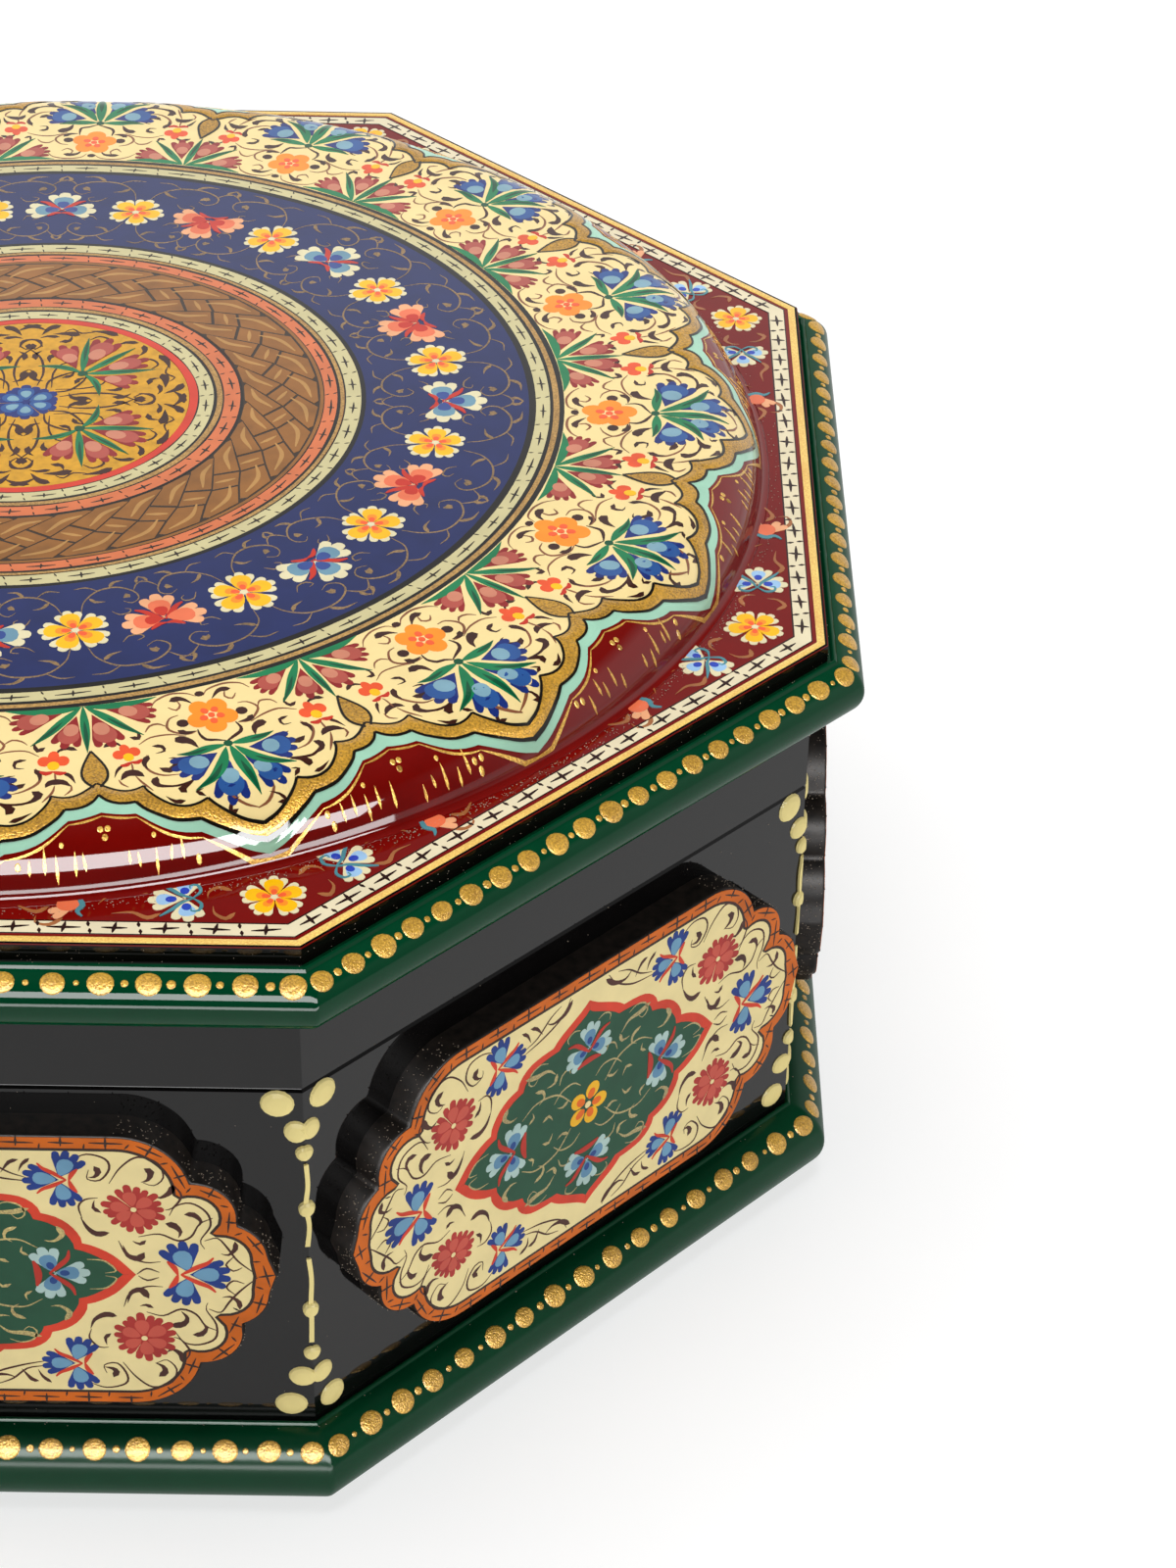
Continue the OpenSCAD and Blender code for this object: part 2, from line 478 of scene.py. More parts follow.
class Paint:
    """Gathers thin closed shapes of one pigment and makes one mesh of them."""

    made = []

    def __init__(self, name, body, slot, material, height=0.0):
        self.name = name
        self.body = body
        self.slot = slot
        self.material = material
        self.height = height
        self.points = []
        self.faces = []
        self.count = 0
        self.shapes = 0
        Paint.made.append(self)

    def level_of(self, lift):
        """The height of the next shape."""
        self.shapes += 1
        return (self.height if lift is None else lift) + LAYER * (self.shapes % LAYERS)

    def add(self, points, faces):
        self.points.append(points)
        self.faces.extend([tuple(i + self.count for i in face) for face in faces])
        self.count += len(points)

    def slab(self, place, points, faces, lift=None):
        """A thin closed slab over the given flat faces."""
        n = len(points)
        top = place(points, self.level_of(lift))
        bottom = place(points, -SINK)
        first = faces[0][0]
        faces = outward(faces, top[list(faces[0])], top[first] - bottom[first])
        edges = {(f[i], f[(i + 1) % len(f)]) for f in faces for i in range(len(f))}
        rim = sorted((b, a, a + n, b + n) for a, b in edges if (b, a) not in edges)
        under = [tuple(i + n for i in reversed(f)) for f in faces]
        self.add(np.vstack((top, bottom)), faces + under + rim)

    def shape(self, place, outline, lift=None):
        """A flat filled outline."""
        self.slab(place, np.asarray(outline, float), [tuple(range(len(outline)))], lift)

    def curved_shape(self, place, outline, lift=None, pitch=0.6):
        """A filled outline with inner points, for a surface that curves."""
        outline = np.asarray(outline, float)
        low = outline.min(0)
        high = outline.max(0)
        xs = np.arange(low[0] + pitch / 2, high[0], pitch)
        ys = np.arange(low[1] + pitch / 2, high[1], pitch)
        grid = np.array([(x, y) for x in xs for y in ys]).reshape(-1, 2)
        inner = grid[inside(outline, grid, 0.2)]
        flat = [Vector(p) for p in np.vstack((outline, inner))]
        loop = list(range(len(outline)))
        found = delaunay_2d_cdt(flat, [], [loop], 1, 1e-5)
        points = np.array([tuple(v) for v in found[0]])
        self.slab(place, points, [tuple(f) for f in found[2]], lift)

    def stroke(self, place, points, width, kind="vine", step=0.4, raw=False, lift=None):
        """A brush stroke through a few points, with the width profile of its kind."""
        line = np.asarray(points, float) if raw else smooth(points, step)
        ahead = np.gradient(line, axis=0)
        ahead /= np.maximum(np.hypot(ahead[:, 0], ahead[:, 1]), 1e-9)[:, None]
        along = distances(line)
        half = width / 2 * WIDTHS[kind](along / along[-1])
        side = np.column_stack((-ahead[:, 1], ahead[:, 0])) * half[:, None]
        self.strip(place, line - side, line + side, lift=lift)

    def strip(self, place, first, second, closed=False, across=1, crown=0.0, lift=None):
        """A ribbon between two lines with as many points each; crown raises its middle."""
        n = len(first)
        height = self.level_of(lift)
        shares = np.linspace(0, 1, across + 1)
        rows = [place(first + (second - first) * s, height + crown * sin(pi * s)) for s in shares]
        rows += [place(second, -SINK), place(first, -SINK)]
        count = len(rows)
        points = np.vstack(rows)
        faces = []
        for i in range(n if closed else n - 1):
            j = (i + 1) % n
            for row in range(count):
                after = (row + 1) % count
                faces.append((row * n + i, row * n + j, after * n + j, after * n + i))
        if not closed:
            faces.append(tuple(row * n for row in range(count)))
            faces.append(tuple(row * n + n - 1 for row in reversed(range(count))))
        self.add(points, outward(faces, points[list(faces[0][:3])], rows[0][0] - rows[-1][0]))

    def dome(self, place, x, y, width, length=None, rise=0.5, turn=0.0, sides=14, rings=3):
        """A raised drop of paint."""
        length = length or width
        spot = within(place, x, y, turn)
        rows = [spot(oval(0, 0, width, length, sides), -SINK)]
        for i in range(rings):
            slope = radians(90 * i / rings)
            size = cos(slope) ** 0.8
            rows.append(spot(oval(0, 0, width * size, length * size, sides), rise * sin(slope)))
        peak = spot(np.zeros((1, 2)), rise)
        points = np.vstack(rows + [peak])
        tip = rings * sides
        faces = tube_faces(rings + 1, sides)
        faces += [(tip + i, tip + (i + 1) % sides, len(points) - 1) for i in range(sides)]
        self.add(points, outward(faces, points[[tip, tip + 1, -1]], peak[0] - rows[0][0]))

    def speck(self, spot, size):
        """A grain of dust at a point in space."""
        x, y, z = spot
        points = np.array([(x + size, y, z), (x, y + size, z), (x - size, y, z), (x, y - size, z),
                           (x, y, z + size), (x, y, z - size)])
        upper = [(i, (i + 1) % 4, 4) for i in range(4)]
        lower = [((i + 1) % 4, i, 5) for i in range(4)]
        self.add(points, upper + lower)

    def build(self):
        piece = add_piece(self.name, np.vstack(self.points), self.faces, self.material)
        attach(piece, self.body)


def inside(outline, points, margin):
    """Which points lie inside an outline, away from its edge by the margin."""
    if not len(points):
        return np.zeros(0, bool)
    a = outline
    b = np.roll(outline, -1, 0)
    px = points[:, 0][:, None]
    py = points[:, 1][:, None]
    crosses = (a[:, 1] > py) != (b[:, 1] > py)
    with np.errstate(divide="ignore", invalid="ignore"):
        at = (b[:, 0] - a[:, 0]) * (py - a[:, 1]) / (b[:, 1] - a[:, 1]) + a[:, 0]
    odd = (crosses & (px < at)).sum(1) % 2 == 1
    edge = b - a
    along = (px - a[:, 0]) * edge[:, 0] + (py - a[:, 1]) * edge[:, 1]
    share = np.clip(along / np.maximum((edge ** 2).sum(1), 1e-12), 0, 1)
    gap = np.hypot(px - a[:, 0] - share * edge[:, 0], py - a[:, 1] - share * edge[:, 1]).min(1)
    return odd & (gap > margin)


def circle_line(radius, steps=180, wobble=0.05):
    """A ring's line in unrolled coordinates of that radius, with a slow hand wobble."""
    x = np.linspace(0, 2 * pi * radius, steps, endpoint=False)
    phase = hand.uniform(0, 6)
    y = radius + wobble * (np.sin(5 * x / radius + phase) + np.sin(11 * x / radius + 2 * phase)) / 2
    return np.column_stack((x, y))


def ring_band(paint, inner, outer):
    """A painted ring on the flat of the disc."""
    one = circle_line(outer)
    two = circle_line(outer)
    two[:, 1] += inner - outer
    paint.strip(unrolled(0, outer), two, one, closed=True)


def paint_scrolls(paint, place, scrolls, wander=0.0):
    """Brush strokes from a table of kind, width and points, with each point a little off its place."""
    for kind, width, points in scrolls:
        if wander:
            points = [(x + slip(wander), y + slip(wander)) for x, y in points]
        paint.stroke(place, points, width, kind, step=0.6)


# Finishes of the frame's solids, by the start of their names, and of the skins that stand for some of them

BLACK = pigment("black_lacquer", srgb(10, 9, 9), spread=0.15, coat=0.7, bump=0.02)
GREEN = pigment("rim_green", srgb(0, 60, 34), spread=0.05, coat=0.4, bump=0.02)
MAROON = pigment("lid_maroon", srgb(114, 9, 5), spread=0.05, coat=0.75, bump=0.02)
PLAQUE_SIDE = pigment("plaque_side", srgb(27, 21, 17), 0.5, brush=900.0, coat=0.35, bump=0.5, gloss=0.4)
BASE_GREEN = pigment("base_green", srgb(0, 60, 34), spread=0.05, coat=0.4, bump=0.02, gloss=0.2)
INSIDE = pigment("inside_black", srgb(20, 17, 15), spread=0.25, coat=0.5, roughness=0.5)

FINISHES = {
    "base_board": BASE_GREEN,
    "rim_board": GREEN,
    "plateau_board": MAROON,
    "crown_disc": MAROON,
    "wall_": BLACK,
    "skirt_": BLACK,
    "plaque_": PLAQUE_SIDE,
    "lip_": INSIDE,
}


def finish_frame():
    for name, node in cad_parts.items():
        for start, material in FINISHES.items():
            if name.startswith(start):
                slots = node.data.materials
                for i in range(len(slots)):
                    slots[i] = material


def add_floor():
    """A large white floor that glows as if lit from all round."""
    reach = 4000
    corners = [(-reach, -reach, 0), (reach, -reach, 0), (reach, reach, 0), (-reach, reach, 0)]
    material = pigment("floor_paper", (0.36, 0.36, 0.36), 0.01, 30.0, coat=0.0, roughness=0.8, bump=0.0)
    glow = material.node_tree.nodes["Principled BSDF"].inputs
    glow["Emission Color"].default_value = grey(1)
    glow["Emission Strength"].default_value = 0.68
    floor = add_piece("floor", corners, [(0, 1, 2, 3)], material)


# Pigments

def rgb_paint(name, body, slot, red, green, blue, height, spread=0.07, **more):
    return Paint(name, body, slot, pigment(name, srgb(red, green, blue), spread, **more), height)


def lid_paint(name, red, green, blue, height, spread=0.07, **more):
    return rgb_paint("lid_" + name, *LID, red, green, blue, height, spread, **more)


GOLD = gilding("gold_powder")
GOLD_LINE = gilding("gold_line", (204, 158, 84), (150, 108, 50), depth=0.25)
FAINT_GOLD = gilding("faint_gold", (160, 126, 80), (112, 88, 58), depth=0.2)

LID = ("lid", "disc_navy")
LID_RED = ("lid", "lid_maroon")

cream = lid_paint("cream_ground", 238, 214, 150, 0.03, 0.03)
cream_rings = lid_paint("cream_rings", 200, 190, 142, 0.03, 0.04)
navy = lid_paint("navy_band", 25, 37, 88, 0.03, 0.08)
mint = lid_paint("mint_border", 160, 208, 182, 0.035, 0.05)
salmon_rings = lid_paint("salmon_rings", 207, 112, 68, 0.03)
red_line = lid_paint("red_line", 205, 58, 38, 0.035)
black_rings = lid_paint("black_rings", 20, 17, 15, 0.032, 0.2)
gold_rings = Paint("lid_gold_rings", *LID, GOLD_LINE, 0.036)
medallion = lid_paint("medallion_ground", 204, 149, 28, 0.03, 0.13, brush=900.0)
stitches = lid_paint("ring_stitches", 38, 30, 24, 0.05, 0.2)
weave_dark = lid_paint("weave_gaps", 50, 34, 20, 0.03)
weave_strand = lid_paint("weave_strands", 140, 90, 36, 0.045, 0.14)
weave_light = lid_paint("weave_lights", 176, 130, 70, 0.055, 0.08)

gold_border = Paint("lid_gold_border", *LID, GOLD, 0.06)
border_lines = lid_paint("border_lines", 24, 20, 14, 0.115, 0.2)
bright_gold = gilding("bright_gold", (232, 182, 74), (176, 124, 40))
red_gold = Paint("lid_gold_touches", *LID_RED, bright_gold, 0.05)

vines = lid_paint("brown_vines", 58, 26, 18, 0.05, 0.2)
fine_vines = lid_paint("fine_vines", 128, 78, 52, 0.045, 0.15)
leaves = lid_paint("green_leaves", 14, 118, 72, 0.075, 0.12)
leaf_darks = lid_paint("leaf_darks", 6, 76, 48, 0.085)
deep_blue = lid_paint("deep_blue_petals", 22, 42, 112, 0.06, 0.12)
mid_blue = lid_paint("mid_blue_petals", 40, 82, 144, 0.07)
pale_blue = lid_paint("pale_blue_petals", 122, 160, 176, 0.08)
crimson = lid_paint("crimson_petals", 138, 30, 30, 0.06, 0.12)
rose = lid_paint("rose_petals", 172, 78, 66, 0.07)
blush = lid_paint("blush_petals", 198, 126, 100, 0.08)
orange = lid_paint("orange_petals", 246, 142, 34, 0.06, 0.06)
orange_hearts = lid_paint("orange_hearts", 236, 92, 48, 0.09)
yellow_hearts = lid_paint("yellow_hearts", 242, 184, 12, 0.08, 0.05)
bud_red = lid_paint("red_buds", 226, 82, 40, 0.065, 0.1)
sepals = lid_paint("red_stems", 190, 44, 26, 0.075)
ivory = lid_paint("ivory_petals", 222, 212, 172, 0.06, 0.05)
dusk_blue = lid_paint("dusk_blue_petals", 104, 144, 164, 0.07)
ink_blue = lid_paint("ink_blue_petals", 48, 72, 138, 0.08)
peach = lid_paint("peach_petals", 232, 166, 120, 0.06)
coral = lid_paint("coral_petals", 226, 112, 74, 0.07)
navy_scrolls = Paint("lid_navy_scrolls", *LID, FAINT_GOLD, 0.045)


# Rings of the disc, as inner and outer radius in millimetres

FLOWER_BAND = 65.2
NAVY_OUTER = 61.0
NAVY_INNER = 41.1
WEAVE_OUTER = 35.7
WEAVE_INNER = 26.2
MEDALLION = 19.7

RINGS = (
    (black_rings, 64.55, 65.25), (gold_rings, 63.95, 64.6), (black_rings, 63.5, 64.0),
    (cream_rings, 61.75, 63.55), (black_rings, 60.95, 61.8), (navy, NAVY_INNER, NAVY_OUTER),
    (black_rings, 40.55, 41.15), (cream_rings, 38.65, 40.6), (black_rings, 38.5, 38.7),
    (gold_rings, 38.0, 38.5), (black_rings, 37.65, 38.02), (salmon_rings, 36.1, 37.7),
    (black_rings, 35.95, 36.12), (weave_strand, 35.55, 35.98), (weave_dark, WEAVE_INNER, 35.6),
    (black_rings, 25.9, WEAVE_INNER), (salmon_rings, 23.95, 25.95), (black_rings, 23.7, 23.97),
    (gold_rings, 23.05, 23.72), (black_rings, 22.62, 23.07), (cream_rings, 20.85, 22.66),
    (black_rings, 20.7, 20.87), (red_line, MEDALLION, 20.72),
)

# Stitched rings: middle radius, width and number of crosses
STITCHED = ((62.65, 1.8, 60), (39.6, 1.95, 44), (36.9, 1.6, 36), (24.95, 2.0, 29), (21.75, 1.8, 28))


def paint_rings():
    for paint, inner, outer in RINGS:
        ring_band(paint, inner, outer)
    medallion.shape(level(DISC_TOP), oval(0, 0, 2 * MEDALLION - 0.1, steps=160), 0.028)


def paint_stitches(place, pitch, width):
    """A cross and a broken divider, along x."""
    slant = slip(0.06)
    reach = pitch * hand.uniform(0.22, 0.3)
    stitches.stroke(place, [(-reach, -slant), (0, 0.02), (reach, slant)], 0.27, step=1.5)
    tall = width * hand.uniform(0.22, 0.32)
    stitches.stroke(place, [(-0.05, -tall), (0.05, tall)], 0.3, step=0.5)
    edge = pitch / 2 + slip(0.15)
    lean = hand.uniform(0.05, 0.3)
    stitches.stroke(place, [(edge - lean, width * 0.46), (edge, width * 0.16)], 0.22, step=0.5)
    stitches.stroke(place, [(edge, -width * 0.14), (edge + lean, -width * 0.46)], 0.22, step=0.5)


def paint_ring_stitches():
    for radius, width, count in STITCHED:
        pitch = 2 * pi * radius / count
        for i in range(count):
            spot = within(unrolled(360 * i / count, radius), 0, radius)
            paint_stitches(spot, pitch, width)


def paint_weave():
    """A plait of slanted strands: an outer, a middle and an inner row."""
    count = 37
    radius = 31.0
    pitch = 2 * pi * radius / count
    strand = 0.925
    low = WEAVE_INNER + 0.1
    high = WEAVE_OUTER - 0.25
    corner = (0.0, 31.1)
    upper = (0.47 * pitch, 32.8)
    under = (0.5 * pitch, 29.0)
    after = (pitch, 31.1)
    outer = [upper, (0.97 * pitch, high), (1.78 * pitch, high), (1.9 * pitch, high - 0.5),
             (1.47 * pitch, 32.8), after]
    middle = [corner, upper, after, under]
    inner = [(-0.12 * pitch, low), (-0.25 * pitch, low + 0.35), under, after, (1.5 * pitch, 29.0),
             (0.8 * pitch, low + 0.4), (0.7 * pitch, low)]
    for i in range(count):
        spot = unrolled(360 * i / count, radius)
        for corners in (outer, middle, inner):
            ring = np.array(corners)
            centre = ring.mean(0)
            weave_strand.shape(spot, centre + (ring - centre) * strand)
        near = by_hand(spot, 0.06, 0.0, 0.0)
        weave_light.stroke(near, [(0.6 * pitch, 32.0), (1.0 * pitch, 33.7), (1.6 * pitch, 34.5)], 0.55)
        weave_light.stroke(near, [(0.3 * pitch, 31.6), (0.72 * pitch, 30.3)], 0.5)
        weave_light.stroke(near, [(0.1 * pitch, 27.3), (0.6 * pitch, 27.9), (1.05 * pitch, 29.9)], 0.6)


# The lobed border, read as half a lobe: distance along the ring and radius

LOBES = 16
LOBE_RADIUS = 78.0
LOBE_HALF = pi * LOBE_RADIUS / LOBES
LOBE_PHASE = -0.15
CURVE_FROM = 79.0
GOLD_OUTER = (
    ((0, 88.45), (1.7, 88.1), (3.4, 87.45), (4.9, 86.75), (5.95, 86.1)),
    ((5.95, 86.1), (7.2, 86.02), (8.6, 85.75), (10.0, 85.0), (11.2, 84.1), (11.85, 83.2)),
    ((11.85, 83.2), (12.8, 83.22), (13.8, 83.0), (14.7, 82.4), (LOBE_HALF, 81.5)),
)
CREAM_EDGE = (
    ((0, 87.45), (1.6, 86.95), (3.0, 86.1), (4.2, 85.0), (4.75, 84.2)),
    ((4.75, 84.2), (5.9, 84.6), (7.2, 84.65), (8.6, 84.1), (9.8, 82.9), (10.5, 81.7), (10.65, 80.95)),
    ((10.65, 80.95), (11.6, 81.35), (12.6, 81.4), (13.6, 80.95), (14.4, 80.3), (LOBE_HALF, 79.5)),
)
MINT_OUTER = (
    ((0, 89.1), (1.8, 88.8), (3.6, 88.25), (5.2, 87.6), (6.2, 87.15)),
    ((6.2, 87.15), (7.6, 87.0), (9.2, 86.55), (10.6, 85.75), (11.6, 84.95), (12.1, 84.55)),
    ((12.1, 84.55), (13.0, 84.5), (13.9, 84.35), (14.7, 84.15), (LOBE_HALF, 83.95)),
)


def border_arcs(half, shift=0.0, count=10):
    """The arcs of half a lobe, each as a smooth line."""
    return [resampled(smooth(piece), count) + (0, shift) for piece in half]


def border_line(half):
    """The whole border in unrolled coordinates, lobe after lobe."""
    arcs = border_arcs(half)
    right = np.vstack([a[:-1] for a in arcs])
    left = np.vstack([a[1:] for a in arcs])[::-1] * (-1, 1)
    lobe = np.vstack((left, right))
    return np.vstack([lobe + (2 * LOBE_HALF * i, 0) for i in range(LOBES)])


def lobe_place(lobe):
    return unrolled(LOBE_PHASE - 360 / LOBES * lobe, LOBE_RADIUS)


def paint_border():
    ring = lobe_place(0)
    edge = border_line(CREAM_EDGE)
    start = edge * (1, 0) + (0, FLOWER_BAND - 0.3)
    inner = edge * (1, 0) + (0, CURVE_FROM)
    cream.strip(ring, start, inner, closed=True)
    cream.strip(ring, inner, edge + (0, 0.2), closed=True, across=12)
    gold = border_line(GOLD_OUTER)
    mint.strip(ring, gold - (0, 0.3), border_line(MINT_OUTER), closed=True, across=4)
    gold_border.strip(ring, edge, gold, closed=True, across=5, crown=0.1)
    for lobe in range(LOBES):
        spot = lobe_place(lobe)
        for half in halves(spot):
            for line in border_arcs(CREAM_EDGE, count=16) + border_arcs(GOLD_OUTER, count=16):
                border_lines.stroke(half, line, hand.uniform(0.24, 0.34), "even", raw=True)
            paint_red_half(half)
        paint_finial(within(spot, LOBE_HALF, 0))


def paint_finial(place):
    """The drop that hangs inward between two lobes."""
    edge = ((0.3, 80.4), (0.5, 79.9), (1.1, 79.0), (1.36, 77.9), (1.2, 76.6), (0.65, 75.1), (0.0, 73.7))
    right = smooth(edge, 0.4)
    outline = np.vstack((right, right[-2::-1] * (-1, 1)))
    gold_border.curved_shape(place, outline, 0.1)
    for half in halves(place):
        border_lines.stroke(half, edge, hand.uniform(0.22, 0.32), "even")


def paint_red_half(place):
    """Gold touches on the maroon beside half a lobe."""
    for line in border_arcs(MINT_OUTER, 0.42, 12):
        line[:, 1] = np.minimum(line[:, 1], 89.25)
        red_gold.stroke(place, line, 0.22, raw=True)
    for x, y in ((0.0, 88.3), (-0.42, 87.6), (0.42, 87.65)):
        if hand.random() < 0.6:
            red_gold.dome(place, 6.9 + x, y + 0.4, 0.55, 0.55, 0.07, sides=8, rings=2)
    for x, y in ((0.35, 85.7), (0.0, 86.45)):
        red_gold.dome(place, LOBE_HALF - x, y, 0.6, 0.62, 0.07, sides=8, rings=2)
    red_gold.dome(place, 11.0 + slip(0.3), 86.75, 0.45, 0.5, 0.07, sides=8, rings=2)
    for i in range(5):
        x = 8.4 + 1.25 * i + slip(0.3)
        tall = hand.uniform(0.8, 1.9)
        high = min(89.15, 88.9 + hand.uniform(-0.5, 0.2))
        lean = hand.uniform(-0.25, 0.1)
        dash = [(x, high), (x + lean / 2, high - tall / 2), (x + lean, high - tall)]
        red_gold.stroke(place, dash, 0.34, "dash")


# Flowers, each in its own frame with +y away from its stem

def petal_fan(paints, place, x, y, turn, length, spread, lobes=3, notch=0.22):
    """A fan petal in three tones: its outline, a round heart and a pale drop near the base."""
    spot = by_hand(within(place, x, y, turn), 0.05, 2.5, 0.04)
    dark, mid, light = paints
    wide = 2 * length * sin(radians(spread) / 2)
    dark.curved_shape(spot, fan(length, spread, lobes, notch), pitch=0.8)
    mid.curved_shape(spot, oval(0, 0.62 * length, wide * 0.56, length * 0.46, 16), pitch=0.8)
    light.curved_shape(spot, oval(0, 0.44 * length, wide * 0.4, length * 0.36, 14), pitch=0.8)


BLUES = (deep_blue, mid_blue, pale_blue)
REDS = (crimson, rose, blush)


def paint_leaf(place, points, width):
    middle = len(points) // 2
    leaves.stroke(place, points, width, "leaf", step=0.5)
    leaf_darks.stroke(place, points[middle - 1:middle + 2], width * 0.42, "leaf", step=0.5)


def paint_carnation(place):
    petal_fan(BLUES, place, -1.5, 1.1, 66, 5.4, 60, 4)
    petal_fan(BLUES, place, -0.8, 2.3, 12, 5.9, 42, 3, 0.3)
    petal_fan(BLUES, place, 0.9, 2.5, -27, 5.6, 44, 3, 0.3)
    petal_fan(BLUES, place, 1.8, 1.2, -76, 4.9, 66, 4)
    paint_leaf(place, [(0.05, 0.3), (0.3, 3.0), (0.5, 5.4), (0.75, 7.8)], 1.15)
    paint_leaf(place, [(-0.4, 0.5), (-1.5, 2.9), (-2.9, 4.8), (-4.9, 6.1)], 1.15)
    paint_leaf(place, [(0.5, 0.6), (1.8, 2.8), (3.2, 4.1), (5.2, 5.1)], 1.1)
    paint_leaf(place, [(-0.3, 0.1), (-2.2, 0.2), (-3.9, 0.5), (-5.4, 0.3)], 1.0)
    paint_leaf(place, [(0.3, 0.1), (2.3, 0.1), (3.8, 0.0), (5.0, -0.3)], 1.0)
    leaf_darks.shape(place, oval(0, 0, 0.95, 0.95, 12))


def paint_palmette(place):
    for half in halves(place):
        petal_fan(REDS, half, 0.8, 1.6, -18, 5.6, 44, 3, 0.25)
        petal_fan(REDS, half, 2.3, 0.9, -70, 5.8, 42, 4, 0.25)
        paint_leaf(half, [(0.2, 0.2), (2.4, 2.4), (4.0, 4.2), (5.7, 5.9)], 0.95)
        leaves.stroke(half, [(0.1, 0.2), (2.6, 0.55), (5.6, 0.55), (8.5, 0.15)], 0.95, "leaf")
    paint_leaf(place, [(0, 0.1), (0.1, 2.5), (0.15, 5.0), (0.25, 7.6)], 0.95)


def paint_orange_rosette(place):
    spot = by_hand(place, 0.15, 30, 0.05)
    for i in range(5):
        petal = within(spot, 0, 0, 72 * i)
        orange.shape(petal, oval(0, 2.0, 2.75, 2.7, 18))
        orange_hearts.shape(petal, oval(0, 1.15, 0.95, 1.1, 12))
    orange_hearts.shape(spot, oval(0, 0, 0.9, 0.9, 12))


def paint_bud(place):
    spot = by_hand(place, 0.2, 9, 0.06)
    bud_red.shape(spot, oval(-0.95, -0.55, 1.45, 1.7, 14))
    bud_red.shape(spot, oval(0.95, -0.55, 1.45, 1.7, 14))
    bud_red.shape(spot, oval(0, -1.35, 1.2, 1.9, 14))
    yellow_hearts.shape(spot, oval(0, 0.25, 1.25, 1.45, 14))
    sepals.stroke(spot, [(-1.35, 1.15), (-0.7, 1.55), (0, 1.25)], 0.62)
    sepals.stroke(spot, [(1.35, 1.45), (0.75, 1.6), (0, 1.25)], 0.62)


# Brown scrolls beside the flowers, as half a lobe: kind, width and the points of each stroke
SCROLLS = (
    ("vine", 0.42, ((0.0, 75.9), (1.2, 75.2), (2.1, 74.8), (2.45, 73.9), (2.4, 72.8))),
    ("comma", 1.15, ((5.7, 74.3), (4.9, 74.1), (4.0, 74.7), (3.5, 75.9))),
    ("vine", 0.34, ((9.3, 75.8), (9.95, 77.1), (9.5, 78.6), (8.2, 79.8), (6.7, 80.1))),
    ("comma", 0.7, ((9.2, 75.9), (9.8, 77.0), (9.6, 78.2))),
    ("comma", 0.75, ((8.4, 78.3), (7.4, 78.9), (6.5, 78.1), (6.3, 77.1), (7.2, 76.9))),
    ("comma", 0.55, ((8.4, 74.2), (7.3, 74.5), (7.3, 75.5), (8.3, 75.6))),
    ("vine", 0.36, ((5.1, 81.2), (6.4, 81.8), (7.9, 81.8), (9.0, 81.2), (9.5, 80.3))),
    ("comma", 0.85, ((9.0, 79.7), (9.5, 80.4), (9.0, 81.3), (7.9, 81.9))),
    ("vine", 0.3, ((9.9, 81.9), (10.8, 80.3), (11.2, 79.0))),
    ("leaf", 0.95, ((10.2, 79.3), (10.9, 78.5), (11.9, 78.5), (12.9, 79.4))),
    ("vine", 0.25, ((11.3, 78.6), (11.3, 77.2), (11.4, 76.6))),
    ("vine", 0.34, ((0.0, 86.3), (1.2, 85.7), (2.2, 84.7), (2.3, 83.6))),
    ("comma", 0.5, ((2.0, 86.1), (2.9, 86.2), (2.6, 85.3), (1.6, 84.9))),
    ("comma", 0.85, ((6.6, 83.2), (6.9, 82.5), (6.2, 81.8), (5.3, 81.4))),
    ("comma", 0.5, ((4.8, 83.9), (5.5, 83.3), (4.9, 82.9))),
    ("vine", 0.34, ((2.6, 73.1), (3.8, 73.3), (5.3, 72.5), (5.9, 71.3), (5.1, 70.0), (3.9, 69.7))),
    ("comma", 0.8, ((4.7, 72.3), (4.0, 73.0), (2.7, 73.0))),
    ("vine", 0.3, ((5.9, 71.3), (6.8, 70.4), (7.9, 70.7), (8.5, 71.6))),
    ("vine", 0.3, ((0.6, 66.9), (1.6, 65.9), (3.8, 65.6), (5.9, 66.3), (6.8, 67.4))),
    ("comma", 0.85, ((4.3, 66.9), (3.2, 66.6), (2.2, 67.0), (1.4, 67.9))),
    ("vine", 0.32, ((3.4, 66.9), (3.0, 67.9), (3.8, 68.6), (4.7, 67.9))),
    ("comma", 0.6, ((10.5, 72.2), (9.6, 72.6), (9.4, 71.6), (9.7, 71.0))),
    ("vine", 0.26, ((9.9, 73.6), (8.2, 72.6), (6.0, 72.7), (4.1, 73.5))),
    ("comma", 0.6, ((13.9, 73.2), (12.9, 72.6), (12.0, 73.0), (11.6, 73.8))),
    ("comma", 0.55, ((6.9, 84.2), (7.9, 84.0), (8.9, 83.2))),
    ("vine", 0.28, ((12.2, 80.8), (12.9, 80.0), (12.9, 79.2))),
    ("comma", 0.5, ((12.2, 76.9), (12.9, 77.6), (13.3, 78.9))),
)


